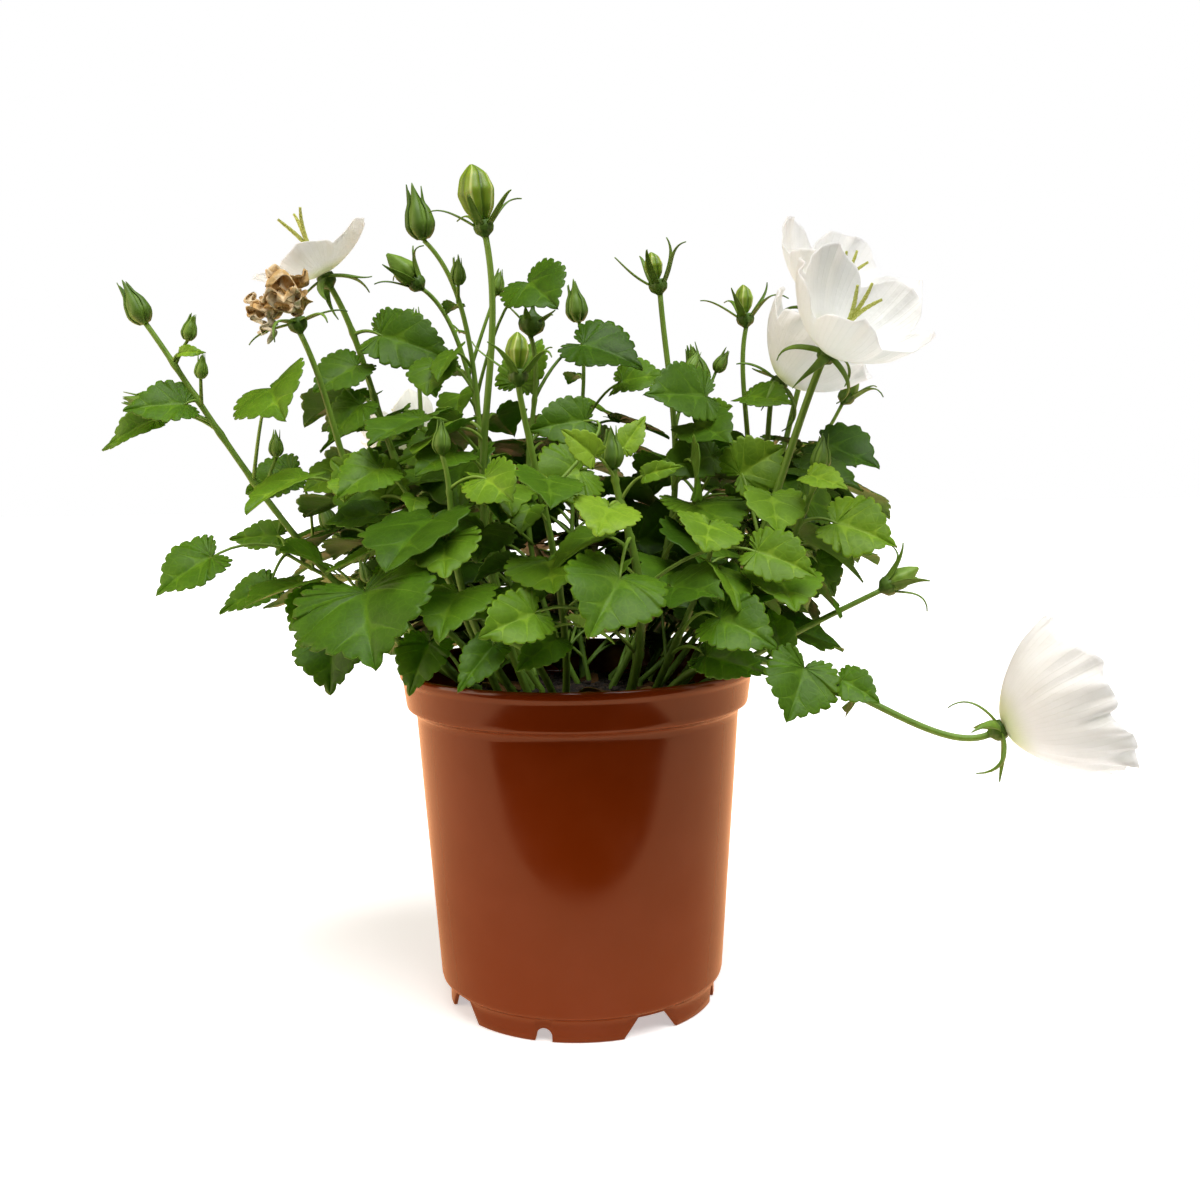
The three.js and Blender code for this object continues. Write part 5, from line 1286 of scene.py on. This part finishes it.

# %% [markdown]
# ### Leafy stems, built
#
# Young leaves are a fresher green than old ones, so each leaf gets one tone. It could be drawn by
# chance, but in the picture it follows the place: the top and the front of the clump are bright
# and the inside is dark. So the tone also holds painted light: leaves high up and in front are
# painted lighter, as if lit, and those further in are painted darker, as painted shade. The large
# leaf low in front is painted darker than its place says.


# %% Build the leafy stems
def leaf_tone(leaf, rng):
    """How bright a leaf is: the sum of how high, how far in front and how small it is, less a
    step for the large leaf in front, plus a small draw. Height and front are painted light: the
    top and front of the clump are painted lit, the back and inside painted shade."""
    base = leaf["base"]
    length = np.linalg.norm(leaf["tip"] - base)
    high = np.clip((base[2] - 110) / 110, 0, 1)
    front = np.clip((20 - base[1]) / 80, 0, 1)
    small = np.clip((24 - length) / 14, 0, 1)
    large = 0.36 if leaf.get("named") and length > LARGE_LEAF and base[1] < 0 else 0
    # Painted light and shade: high and front leaves are painted lighter, the large front leaf darker;
    # small leaves are young.
    lit_and_young = 0.24 + 0.32 * high + 0.26 * front + 0.16 * small - large
    return float(np.clip(lit_and_young + rng.uniform(-0.2, 0.2), 0, 1))


rng = np.random.default_rng(21)
for plant in PLANTS.values():
    surface = Surface()
    stem_surface(surface, plant, rng)
    for leaf in plant["grown"]:
        leaf_surface(surface, leaf, leaf_tone(leaf, rng), rng)
    for stem, place, foot, top in SIDE_BUDS:
        if stem == plant["name"]:
            side_bud(surface, stem_point(plant["route"], place), spot(foot), spot(top), rng)
    surface.build(f"shoot_{plant['name']}", [green, blade_green], [f"stem_{plant['name']}"])
print("leafy stems:", sum(TRIANGLES.values()), "triangles")

for part, name in enumerate(("inner_leaves_left", "inner_leaves_right")):
    surface = Surface()
    for leaf in inner_leaves:
        if (leaf["base"][0] > 0) == bool(part):
            # The inner leaves are painted a step darker still: painted shade inside the clump.
            leaf_surface(surface, leaf, leaf_tone(leaf, rng) - 0.1, rng, sturdy=False)
    surface.build(name, [green, blade_green], [])
    print(name, TRIANGLES[name], "triangles")

# %% [markdown]
# ## White blooms
#
# A bloom is five petals joined in a cup, with five pointed lobes. The tissue is thin and lets some
# light through, so its shader scatters light under the surface. Fine veins run up from a green
# base. The cup is worked out round its axis: turn goes round, and share goes from the base to the
# edge of the lobe.

# %% Petal material
# Thin, cool, slightly waxy tissue. The light that scatters in it fills its shadows, so it stays
# white on the side away from the lamp. Each row of TINTS lays a colour over it by a factor.
LINES_TO_A_LOBE, CLOUDS, CREASES = 7.0, 7.0, 5.0
petal, petal_shader = finish("thin_white_petal", {
    "Roughness": 0.55,
    "Specular IOR Level": 0.25,
    "Subsurface Weight": 0.75,
    "Subsurface Scale": 0.004,
    "Subsurface Radius": (1.0, 1.0, 0.9),
})
place = add(petal, "Attribute", {}, "Vector", attribute_name="place")
tone = add(petal, "Attribute", {}, "Fac", attribute_name="tone")
where = add(petal, "TexCoord", {}, "Object")
lobe, share, face = add(petal, "SeparateXYZ", {0: place}, None)
counted = add(petal, "Math", {0: lobe, 1: LINES_TO_A_LOBE}, operation="MULTIPLY")
from_line = add(petal, "Math", {0: counted, 1: 0.5}, operation="PINGPONG")
lines = add(petal, "MapRange", {0: from_line, 1: 0.0, 2: 0.16, 3: 1.0, 4: 0.0}, **SMOOTH)
clouds = add(petal, "TexNoise", {"Vector": where, "Scale": repeats(CLOUDS), "Detail": 4.0}, "Fac")
clouded = add(petal, "Math", {0: clouds, 1: 0.5}, operation="MULTIPLY")
lined = add(petal, "Math", {0: lines, 1: 0.08}, operation="MULTIPLY")
green_base = add(petal, "MapRange", {0: share, 1: 0.04, 2: 0.34, 3: 0.75, 4: 0.0}, **SMOOTH)
thin_edge = add(petal, "MapRange", {0: share, 1: 0.93, 2: 1.0, 3: 0.0, 4: 0.35}, **SMOOTH)
cream = add(petal, "Math", {0: tone, 1: 0.5}, operation="MULTIPLY")
TINTS = (
    (clouded, "#ebedea"),
    (lined, "#cdd6c8"),
    (green_base, "#c8d68c"),
    (thin_edge, "#e2dcd8"),
    (cream, "#eef0cf"),
)
petal_colour = colour("#fbfcfa")
for factor, tint in TINTS:
    petal_colour = add(petal, "Mix", {0: factor, 6: petal_colour, 7: colour(tint)}, 2, **IN_COLOUR)
creases = add(petal, "TexNoise", {"Vector": where, "Scale": repeats(CREASES), "Detail": 4.0}, "Fac")
wrinkles = add(petal, "Math", {0: lines, 1: 0.12, 2: creases}, operation="MULTIPLY_ADD")
petal_bump = add(petal, "Bump", {"Height": wrinkles, "Distance": 0.8 * MM, "Strength": 0.7})
fill(petal, petal_shader, {"Base Color": petal_colour, "Normal": petal_bump})
print(petal.name, "has", len(petal.node_tree.nodes), "nodes")

# %% [markdown]
# ### The cup
#
# The petals could be modelled one by one, but they are joined in the real flower. So the cup is
# one grid, and its edge, folds and creases are sums of waves of the turn. The two nodding bells
# have deeper creases, and the near side of the far one sags.

# %% Petals
PETAL_BASE, PETAL_ROUND, PETAL_RISE, PETAL_SHARP = 0.13, 0.9, 1.25, 1.6
CRUMPLE, CLEFT = {"farBell": 1.9, "bell": 1.5}, {"farBell": 0.45}
SAG = {"farBell": 0.17}
CUP_COLUMNS, CUP_ROWS, BASE_THICKNESS, LOBE_THICKNESS = 140, 26, 0.55, 0.3


def corolla(surface, plant, rng, tone):
    """A cup with five lobes. lobe is 1 in the middle of a lobe and 0 at a gap. The edge lies at
    1 - parting x (1 - lobe)^1.6 of the full petal, the radius grows as the sine of a quarter turn,
    and the height as a power. Creases, ripples and the rolled edge are added to the radius."""
    shape = BLOOMS[plant["head"]]
    origin = plant["route"][3] + plant["axes"][2] * (CALYX_DEPTH + GAP)
    turn = np.arange(CUP_COLUMNS) / CUP_COLUMNS * 2 * np.pi
    share = np.linspace(0, 1, CUP_ROWS)[:, None]
    lobe = np.abs((turn * 5 / (2 * np.pi)) % 1 - 0.5)[None] * 2
    parting = CLEFT.get(plant["head"], 0.8) * shape["parting"]
    edge = 1 - parting * (1 - lobe) ** PETAL_SHARP + 0.035 * np.clip(1 - (1 - lobe) / 0.16, 0, 1)
    u = edge * share
    radius = shape["radius"] * mix(np.sin(np.minimum(u, 1) * np.pi / 2) ** PETAL_ROUND, 1, PETAL_BASE)
    height = shape["depth"] * u**PETAL_RISE
    wobble = rng.uniform(0, 2 * np.pi, 6)
    fold = -0.035 * np.exp(-(((1 - lobe) / 0.1) ** 2)) + 0.03 * np.sin(np.pi * lobe)
    ripple = 0.018 * np.sin(9 * turn + wobble[0])[None] + 0.014 * np.sin(16 * turn + wobble[1])[None]
    ripple = ripple + 0.012 * np.sin(31 * turn + wobble[2] + 3 * share) * share
    gap = -0.06 * (1 - lobe) ** 2
    crumple = CRUMPLE.get(plant["head"], 1.0)
    ripple = ripple * min(crumple, 0.8)
    for size in (0.026, 0.02, 0.016, 0.012, 0.009):
        round_, up, phase = rng.integers(4, 26), rng.uniform(-16, 16), rng.uniform(0, 6)
        ripple = ripple + size * (crumple - 0.7) * np.sin(round_ * turn[None] + up * share + phase)
    radius = radius + shape["radius"] * (fold + gap + ripple * share**1.6) * share
    rolled = np.clip((share - 0.72) / 0.28, 0, 1) ** 2
    lean = np.sin(turn + wobble[3])[None] * 0.5 + 0.5
    radius = radius + shape["radius"] * 0.05 * rolled * lobe
    height = height - shape["depth"] * 0.07 * rolled * lean * lobe
    height = height + shape["depth"] * 0.03 * np.sin(12 * turn + wobble[4])[None] * share**3
    thick = mix(BASE_THICKNESS, LOBE_THICKNESS, share)
    full_turn = turn[None] + math.radians(shape["turn"]) + 0 * share
    round_way = turned_ring(0, plant["axes"], 1.0, full_turn, 0.0)
    near = np.clip(round_way @ VIEWER, 0, 1)
    height = height + SAG.get(plant["head"], 0) * shape["depth"] * near**2 * share**3
    outer = turned_ring(origin, plant["axes"], radius, full_turn, height)
    inner = turned_ring(origin, plant["axes"], radius - thick, full_turn, height + thick * (1 - u))
    on_outside = np.stack(np.broadcast_arrays(lobe, u, 1.0), axis=-1)
    on_inside = np.stack(np.broadcast_arrays(lobe, u, 0.0), axis=-1)
    place = np.concatenate([on_outside, on_inside[::-1]])
    surface.tube(np.concatenate([outer, inner[::-1]]), place, tone)


print("a cup is a grid of", CUP_ROWS, "by", CUP_COLUMNS, "points, inside and out")


# %% [markdown]
# ## Styles
#
# In each bloom stands a pale column that parts in three curved arms. The arms are covered in tiny
# grains, which catch the pollen. Real grains of a tenth of a millimetre wouldn't show in the
# render, so they are a bump of cells drawn at half a millimetre. The finish is matt, pale yellow
# on the grains and olive between them.

# %% Styles and their material
GRAIN = 0.45
STYLE_COLOURS = [(0, "#dfe08a"), (1, "#a9b03e")]
grainy, grainy_shader = finish("grainy_yellow_green_style", {"Roughness": 0.6})
where = add(grainy, "TexCoord", {}, "Object")
grains = add(grainy, "TexVoronoi", {"Vector": where, "Scale": repeats(GRAIN)}, "Distance")
steeper = add(grainy, "Math", {0: grains, 1: 1.4}, operation="MULTIPLY")
style_colour = add(grainy, "ValToRGB", {"Fac": steeper}, stops=STYLE_COLOURS)
grain_bump = add(grainy, "Bump", {"Height": grains, "Distance": 0.3 * MM, "Strength": 0.8})
fill(grainy, grainy_shader, {"Base Color": style_colour, "Normal": grain_bump})
print(grainy.name, "has", len(grainy.node_tree.nodes), "nodes")

SHORTEST_COLUMN, ARM_REACH, ARM_RISE, ARM_RADIUS = 9.0, 4.6, 12.5, 0.72


def style(surface, plant):
    """A column on the bloom's axis, and three arms whose distance out grows as a power."""
    depth, origin, axes = BLOOMS[plant["head"]]["depth"], plant["route"][3], plant["axes"]
    start = CALYX_DEPTH + 2 * GAP + 0.8
    column = max(SHORTEST_COLUMN, depth * 0.45)
    height = np.linspace(start, start + column, 10)
    radius = np.interp(height, [start, start + 2, start + column], [1.1, 0.75, 0.85])
    turned_shape(surface, origin, axes, height, radius, 12, 3, 0.06, 0.5)
    k = np.linspace(0, 1, 16)
    for j in range(3):
        turn = (j + 0.5) / 3 * 2 * np.pi + 0.25 * k**2
        out = 0.3 + ARM_REACH * k**1.5
        path = turned_ring(origin, axes, out, turn, start + column - 0.8 + ARM_RISE * k)
        swell = ARM_RADIUS * (1 - 0.4 * k**3) * (1 + 0.1 * np.sin(40 * k))
        surface.tube(swept(path, swell, 9, axes[1] + 0.3 * axes[2]))


print("a style's arms stand", ARM_REACH, "mm out")

# %% Build the blooms
for plant in PLANTS.values():
    if plant["head"] in BLOOMS:
        name = plant["name"]
        cup = Surface()
        corolla(cup, plant, rng, 1.0 if plant["head"] == "paleBell" else 0.0)
        cup.build(f"corolla_{name}", [petal], [f"petals_{name}"])
        arms = Surface()
        style(arms, plant)
        arms.build(f"stigma_{name}", [grainy], [f"style_{name}"])
        print(f"corolla_{name}", TRIANGLES[f"corolla_{name}"], "triangles")

# %% [markdown]
# ## Buds about to open
#
# The folded petals show five broad pale ribs with darker folds between them. They could be five
# petals rolled up, but only their outside shows. So one drop shape gets its ribs from the absolute
# cosine of two and a half turns, which is round on the ribs and sharp in the folds. The same
# number colours the ribs: lime, with a pale line on the crest, and a little shine. It also paints
# the folds darker, as painted shade in the creases.

# %% Lime buds
LIME_FINISH = {"Roughness": 0.42, "Subsurface Weight": 0.15, "Subsurface Scale": 0.002}
lime, lime_shader = finish("folded_lime_petal", LIME_FINISH)
place = add(lime, "Attribute", {}, "Vector", attribute_name="place")
where = add(lime, "TexCoord", {}, "Object")
rib, height_share, face = add(lime, "SeparateXYZ", {0: place}, None)
# Painted shade: the ramp darkens the folds, where rib is near 0, beyond the shade that the grooves cast.
RIBS_AND_FOLD_SHADE = [(0, "#587814"), (0.35, "#789620"), (0.955, "#88a528"), (0.997, "#cdd988")]
ribs_and_fold_shade = add(lime, "ValToRGB", {"Fac": rib}, stops=RIBS_AND_FOLD_SHADE)
at_foot = add(lime, "MapRange", {0: height_share, 1: 0.0, 2: 0.35, 3: 0.6, 4: 0.0}, **SMOOTH)
lime_colour = add(lime, "Mix", {0: at_foot, 6: ribs_and_fold_shade, 7: colour("#7ea02c")}, 2, **IN_COLOUR)
upwards = add(lime, "Mapping", {"Vector": where, "Scale": (1, 1, 0.3)})
fibres = add(lime, "TexNoise", {"Vector": upwards, "Scale": repeats(1.2), "Detail": 4.0}, "Fac")
lime_bump = add(lime, "Bump", {"Height": fibres, "Distance": 0.15 * MM, "Strength": 0.5})
fill(lime, lime_shader, {"Base Color": lime_colour, "Normal": lime_bump})
print(lime.name, "has", len(lime.node_tree.nodes), "nodes")

LIME_PROFILE = [(0, 0.12), (0.2, 0.26), (0.5, 0.335), (0.8, 0.24), (0.95, 0.1), (1, 0.03)]
LIME_ROWS, LIME_COLUMNS = 26, 60
for plant in PLANTS.values():
    if plant["head"] != "limeBud":
        continue
    origin, axes = plant["route"][3], plant["axes"]
    start = CALYX_DEPTH + GAP
    length = np.linalg.norm(plant["reach"] - origin) - start
    height, radius = along_profile(LIME_PROFILE, LIME_ROWS)
    turn = np.arange(LIME_COLUMNS) / LIME_COLUMNS * 2 * np.pi
    ridge = np.abs(np.cos(2.5 * turn - np.pi / 2))[None]
    grid = radius[:, None] * length * (0.87 + 0.2 * ridge**0.55)
    twist = 0.5 * height[:, None] ** 3
    points = turned_ring(origin, axes, grid, turn[None] + twist, start + height[:, None] * length)
    place = np.stack(np.broadcast_arrays(ridge, height[:, None], 1.0), axis=-1)
    bud = Surface()
    bud.tube(points, place)
    bud.build(f"folded_{plant['name']}", [lime], [f"bud_{plant['name']}"])

# %% [markdown]
# ## The withered flower
#
# A spent bloom dries to a tan crumple of thin paper-like petal. A cloth simulation could crush a
# cup, but slowly and not the same each time. So it is a bundle of short strips that lie every way
# round the places of the lumps in the imported model, each wound along its length and pleated across.
# Its finish is quite matt, blotched from brown to nearly white.

# %% Dry petals
BLOTCH, CRACKLE = 3.5, 1.5
dry, dry_shader = finish("dry_crumpled_petal", {"Roughness": 0.8})
where = add(dry, "TexCoord", {}, "Object")
tone = add(dry, "Attribute", {}, "Fac", attribute_name="tone")
blotches = add(dry, "TexNoise", {"Vector": where, "Scale": repeats(BLOTCH), "Detail": 6.0}, "Fac")
half_tone = add(dry, "Math", {0: tone, 1: 0.5}, operation="MULTIPLY")
dry_tone = add(dry, "Math", {0: blotches, 1: 0.7, 2: half_tone}, operation="MULTIPLY_ADD")
DRY_COLOURS = [(0.22, "#75552a"), (0.38, "#b08c50"), (0.56, "#cfac70"), (0.75, "#ecdfc0")]
dry_colour = add(dry, "ValToRGB", {"Fac": dry_tone}, stops=DRY_COLOURS)
crackle = add(dry, "TexNoise", {"Vector": where, "Scale": repeats(CRACKLE), "Detail": 6.0}, "Fac")
dry_bump = add(dry, "Bump", {"Height": crackle, "Distance": 0.8 * MM, "Strength": 0.9})
fill(dry, dry_shader, {"Base Color": dry_colour, "Normal": dry_bump})
print(dry.name, "has", len(dry.node_tree.nodes), "nodes")


def ribbon(surface, middle, reach, ahead, across, wobble, tone):
    """A dried strip of petal: it winds about a middle line, and is pleated across by a sine wave
    whose size and phase drift along it."""
    k = np.linspace(-1, 1, 34)[:, None]
    rho = np.linspace(-1, 1, 13)
    sheet = np.concatenate([rho, rho[::-1]])[None]
    thick = np.concatenate([np.full(13, 0.2), np.full(13, -0.2)])[None]
    above = np.cross(ahead, across)
    pleats = np.sin(5.5 * sheet + 2.4 * np.sin(2.2 * k + wobble) + wobble)
    curl = 0.34 * np.sin(2.6 * k + wobble) + 0.16 * np.sin(6.1 * k + 2 * wobble)
    width = reach * (0.5 + 0.16 * np.sin(3.7 * k + wobble)) * np.sqrt(np.maximum(1 - k**4, 0.02))
    lift = reach * (curl + 0.17 * pleats) + thick
    side = width * sheet + reach * 0.16 * np.sin(4.3 * k + 1.7 * wobble)
    along = reach * (k + 0.1 * np.sin(6 * sheet + wobble) * np.abs(k))
    points = middle + along[..., None] * ahead + side[..., None] * across + lift[..., None] * above
    surface.tube(points, tone=tone + 0.12 * pleats.ravel()[:1])


origin = PLANTS["spent"]["route"][3]
crumple = Surface()
LUMPS = (
    ((-5, 0, 13.5), 7.2, 6, 0.5),
    ((-3, 2, 9), 6.0, 3, 0.4),
    ((-11.5, 3, 8.5), 5.6, 4, 0.5),
    ((-11, 1, 3), 4.2, 2, 1.0),
)
for middle, reach, count, pale in LUMPS:
    for step in range(count):
        ahead = unit(rng.normal(size=3) * (0.8, 0.7, 1.1))
        across = square_to(rng.normal(size=3), ahead)
        shift = rng.normal(size=3) * reach * 0.16
        wobble, tone = rng.uniform(0, 6), pale + rng.uniform(-0.25, 0.25)
        ribbon(crumple, origin + middle + shift, reach, ahead, across, wobble, tone)
crumple.build("dry_corolla", [dry], ["petals_spent"])
print("dry_corolla", TRIANGLES["dry_corolla"], "triangles")

# %% [markdown]
# ## The pot
#
# A nursery pot is moulded in one piece from polypropylene: a thin tapered wall, a wider band at
# the rim, and a foot ring with cut-outs that let water run off. It could be a turned solid with
# the cut-outs taken off by a Boolean, which leaves long thin faces. So its section is turned round
# the axis as a grid, and the foot's lower edge is a function of the turn, which rises where a
# cut-out or notch is.

# %% Pot shape
FOOT_RADIUS, FOOT_HEIGHT, WALL = 45.7, 8.0, 1.2
ARCH_HALF, ARCH_TOP_HALF, ARCH_HEIGHT, FIRST_ARCH = 10.0, 5.0, 6.4, 29.0
NOTCH_RADIUS, NOTCH_HEIGHT = 2.7, 4.4


def foot_edge(turn):
    """Height of the foot's lower edge. In an arch it rises in a straight slant to a flat top. In a
    notch it is upright, then round: the height of the round's middle plus a circle's arc."""
    quarter = np.pi / 2
    from_arch = (turn - math.radians(FIRST_ARCH) + quarter / 2) % quarter - quarter / 2
    arch = np.clip((ARCH_HALF - np.abs(from_arch) * FOOT_RADIUS) / (ARCH_HALF - ARCH_TOP_HALF), 0, 1)
    from_notch = (np.abs(from_arch) - quarter / 2) * FOOT_RADIUS
    inside = np.abs(from_notch) < NOTCH_RADIUS
    rise = np.sqrt(np.maximum(NOTCH_RADIUS**2 - from_notch**2, 0)) + NOTCH_HEIGHT - NOTCH_RADIUS
    return np.maximum(arch * ARCH_HEIGHT, np.where(inside, rise, 0))


even = np.arange(288) / 288 * 2 * np.pi
quarters = math.radians(FIRST_ARCH) + np.arange(4) * np.pi / 2
corners = np.array([-ARCH_HALF, -ARCH_TOP_HALF, ARCH_TOP_HALF, ARCH_HALF]) / FOOT_RADIUS
notch_sides = (np.pi / 4) + np.array([-1, -0.995, -0.9, 0.9, 0.995, 1]) * NOTCH_RADIUS / FOOT_RADIUS
exact = np.concatenate([quarters[:, None] + corners, quarters[:, None] + notch_sides], axis=1)
turn = np.unique(np.round(np.concatenate([even, exact.ravel() % (2 * np.pi)]), 6))
lower = foot_edge(turn)

FLOOR_TOP = FOOT_HEIGHT + WALL
UNDER = [(6, FOOT_HEIGHT), (18, FOOT_HEIGHT), (30, FOOT_HEIGHT), (40, FOOT_HEIGHT), (44.2, FOOT_HEIGHT)]
BODY = [
    (46.3, 7.8), (47.6, 8.2), (48.3, 8.8), (48.6, 10), (50.6, 40), (52.7, 70), (54.5, 98), (54.75, 99.8),
    (55.2, 100.5), (56.9, 101.8), (57.6, 102.2), (57.85, 102.9), (58.0, 104), (58.9, 110.8), (59.2, 111.6),
    (59.8, 112.3), (60.0, 113), (60.0, 114.2), (59.85, 114.7), (59.5, 115), (58.6, 115), (58.1, 114.8),
    (57.9, 114.2), (57.2, 108), (56.7, 103.4), (56.3, 102.8), (53.9, 101.2), (53.6, 100.6), (53.4, 99.5),
    (50.4, 55), (47.6, 11.5), (47.0, 9.8),
    (46.2, FLOOR_TOP), (40, FLOOR_TOP), (20, FLOOR_TOP), (6, FLOOR_TOP),
]


def around_axis(radius, height, turn):
    """Points at a radius and height, turned from the front (-Y) counter-clockwise."""
    radius, height, turn = np.broadcast_arrays(radius, height, turn)
    return np.stack([radius * np.sin(turn), -radius * np.cos(turn), height], axis=-1)


rows = [around_axis(r, z, turn) for r, z in UNDER]
inner = FOOT_RADIUS - WALL
rows += [around_axis(inner, mix(FOOT_HEIGHT, lower + 0.15, q), turn) for q in (0.05, 0.4, 0.7, 1)]
rows += [around_axis(inner + 0.2, lower, turn), around_axis(FOOT_RADIUS - 0.2, lower, turn)]
rows += [around_axis(FOOT_RADIUS, mix(lower + 0.15, FOOT_HEIGHT - 0.3, q), turn) for q in (0, 0.3, 0.6)]
rows += [around_axis(r, z, turn) for r, z in BODY]
pot_surface = Surface()
pot_surface.tube(np.array(rows))
print("the pot's section has", len(rows), "points, turned in", len(turn), "steps")

# %% [markdown]
# ### Pot plastic
#
# Terracotta-coloured polypropylene, injection moulded: smooth and a little waxy. It gives the eye
# a deep orange brown with a clear but soft mirror of the ground. Fine flow marks and a faint dust
# keep the shine from looking like glass: the dust makes it rougher in patches.

# %% Pot material
DUST, FLOW_MARK = 14.0, 1.2
plastic, plastic_shader = finish("terracotta_polypropylene", {"IOR": 1.42})
where = add(plastic, "TexCoord", {}, "Object")
dust = add(plastic, "TexNoise", {"Vector": where, "Scale": repeats(DUST), "Detail": 8.0}, "Fac")
fine = add(plastic, "TexNoise", {"Vector": where, "Scale": repeats(FLOW_MARK), "Detail": 3.0}, "Fac")
dusty = add(plastic, "MapRange", {0: dust, 1: 0.35, 2: 0.75, 3: 0.0, 4: 0.4}, **SMOOTH)
two_browns = {0: dusty, 6: colour("#672303"), 7: colour("#6f2906")}
pot_colour = add(plastic, "Mix", two_browns, 2, **IN_COLOUR)
shine = add(plastic, "MapRange", {0: dust, 1: 0.3, 2: 0.8, 3: 0.11, 4: 0.19}, **SMOOTH)
pot_bump = add(plastic, "Bump", {"Height": fine, "Distance": 0.05 * MM, "Strength": 0.25})
fill(plastic, plastic_shader, {"Base Color": pot_colour, "Roughness": shine, "Normal": pot_bump})
pot_surface.build("moulded_pot", [plastic], ["pot"])
print("moulded_pot", TRIANGLES["moulded_pot"], "triangles")

# %% [markdown]
# ## The compost
#
# Peat fills the pot to a centimetre below the rim. Its top could be a flat disc with a bump, but
# from above its lumps hide one another, so it is a field of heights: noise of three sizes. Crumbs
# lie on it.


# %% Compost finish and bed
def lattice_noise(x, y, cell, seed):
    """Smooth noise: random numbers on a square lattice, blended with the curve 3t^2 - 2t^3."""
    table = np.random.default_rng(seed).random((64, 64)) - 0.5
    gx, gy = x / cell, y / cell
    ix, iy = np.floor(gx).astype(int), np.floor(gy).astype(int)
    tx, ty = (3 * t**2 - 2 * t**3 for t in (gx - ix, gy - iy))
    corner = [table[(ix + a) % 64, (iy + b) % 64] for a, b in ((0, 0), (1, 0), (0, 1), (1, 1))]
    return mix(mix(corner[0], corner[1], tx), mix(corner[2], corner[3], tx), ty)


# Moist peat: nearly black, quite matt, with brown fibres of a few millimetres.
FIBRE, CRUMB = 2.2, 1.0
PEAT_COLOURS = [(0.3, "#0f0b08"), (0.5, "#231a13"), (0.62, "#3a2a1c"), (0.75, "#5a4630")]
peat, peat_shader = finish("moist_peat_compost", {"Roughness": 0.92})
where = add(peat, "TexCoord", {}, "Object")
fibres = add(peat, "TexNoise", {"Vector": where, "Scale": repeats(FIBRE), "Detail": 8.0}, "Fac")
peat_colour = add(peat, "ValToRGB", {"Fac": fibres}, stops=PEAT_COLOURS)
crumbs = add(peat, "TexNoise", {"Vector": where, "Scale": repeats(CRUMB), "Detail": 6.0}, "Fac")
peat_bump = add(peat, "Bump", {"Height": crumbs, "Distance": 1.0 * MM, "Strength": 1.0})
fill(peat, peat_shader, {"Base Color": peat_colour, "Normal": peat_bump})

SOIL_HEIGHT, SOIL_RADIUS, SOIL_FOOT, WALL_DIP = 104.0, 52.9, 46.9, 2.2
SOIL_WAVES = (3.0, 14, 1), (1.8, 5, 2), (0.9, 1.9, 3)
CRUMBS, CRUMB_LIMIT = 420, 51


def soil_top(x, y):
    """The compost's height: a flat bed, a little lower at the wall, with noise of three sizes."""
    rough = sum(size * lattice_noise(x, y, cell, seed) for size, cell, seed in SOIL_WAVES)
    return SOIL_HEIGHT + rough - WALL_DIP * (np.hypot(x, y) / SOIL_RADIUS) ** 4


turn = np.arange(160) / 160 * 2 * np.pi
soil_floor, soil_edge = FLOOR_TOP + GAP, SOIL_HEIGHT - 4
rows = [around_axis(SOIL_FOOT * q, soil_floor, turn) for q in (0.1, 0.6, 1)]
for q in (0.3, 0.7, 1):
    rows.append(around_axis(mix(SOIL_FOOT, SOIL_RADIUS, q), mix(soil_floor, soil_edge, q), turn))
for radius in np.linspace(SOIL_RADIUS, 0.6, 64):
    flat = around_axis(radius, 0, turn)
    flat[:, 2] = soil_top(flat[:, 0], flat[:, 1])
    rows.append(flat)
compost = Surface()
compost.tube(np.array(rows))
turn5, up5 = np.arange(6) / 6 * 2 * np.pi, np.array([0.25, 0.5, 0.75]) * np.pi
for _ in range(CRUMBS):
    radius, angle = CRUMB_LIMIT * math.sqrt(rng.random()), rng.random() * 2 * np.pi
    x, y, size = radius * math.cos(angle), radius * math.sin(angle), rng.uniform(0.5, 1.7)
    bump = size * rng.uniform(0.7, 1.3, (3, 6))
    flat = bump * np.sin(up5)[:, None]
    upright = -bump * 0.7 * np.cos(up5)[:, None]
    lump = np.stack([flat * np.cos(turn5), flat * np.sin(turn5), upright], axis=-1)
    compost.tube(lump + (x, y, float(soil_top(np.array([x]), np.array([y]))[0]) + size * 0.2))
compost.build("compost_bed", [peat], ["soil"])
print("compost_bed", TRIANGLES["compost_bed"], "triangles")

# %% [markdown]
# ### Fallen leaves
#
# Old leaves dry and drop on the compost. They are the same surface as the living ones, shorter and
# turned any way, with the brown ramp of the leaf material.

# %% Fallen leaves
FALLEN, FALLEN_LIMIT, POT_LIMIT, ABOVE_SOIL = 16, 44, 50, 1.6
litter = Surface()
for _ in range(FALLEN):
    radius, angle = FALLEN_LIMIT * math.sqrt(rng.random()), rng.random() * 2 * np.pi
    base = np.array([radius * math.cos(angle), radius * math.sin(angle), 0])
    base[2] = float(soil_top(base[:1], base[1:2])[0]) + ABOVE_SOIL
    way = level_at(rng.random() * 2 * np.pi)
    length = rng.uniform(7, 13)
    tip = base + way * length
    if np.hypot(*tip[:2]) > POT_LIMIT:
        tip = base - way * length
    facing = unit(UP + 0.5 * rng.normal(size=3))
    leaf = dict(base=base, tip=tip, facing=facing, width=rng.uniform(0.5, 0.8))
    leaf_surface(litter, leaf, rng.uniform(0.2, 0.9), rng, slot=0, sturdy=False)
litter.build("fallen_leaves", [dry_blade], [])
print("fallen_leaves", TRIANGLES["fallen_leaves"], "triangles")

# %% [markdown]
# ## Finish
#
# The box of the imported model and that of the finished one are printed side by side, so they can be
# compared.

# %% Finish
total = sum(TRIANGLES.values())
print("triangles:", total, "largest:", max(TRIANGLES.items(), key=lambda item: item[1]))
boxes = {"cad": cad_box, "visual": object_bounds()}
boxes = {key: [list(map(float, corner)) for corner in box] for key, box in boxes.items()}
print(boxes)
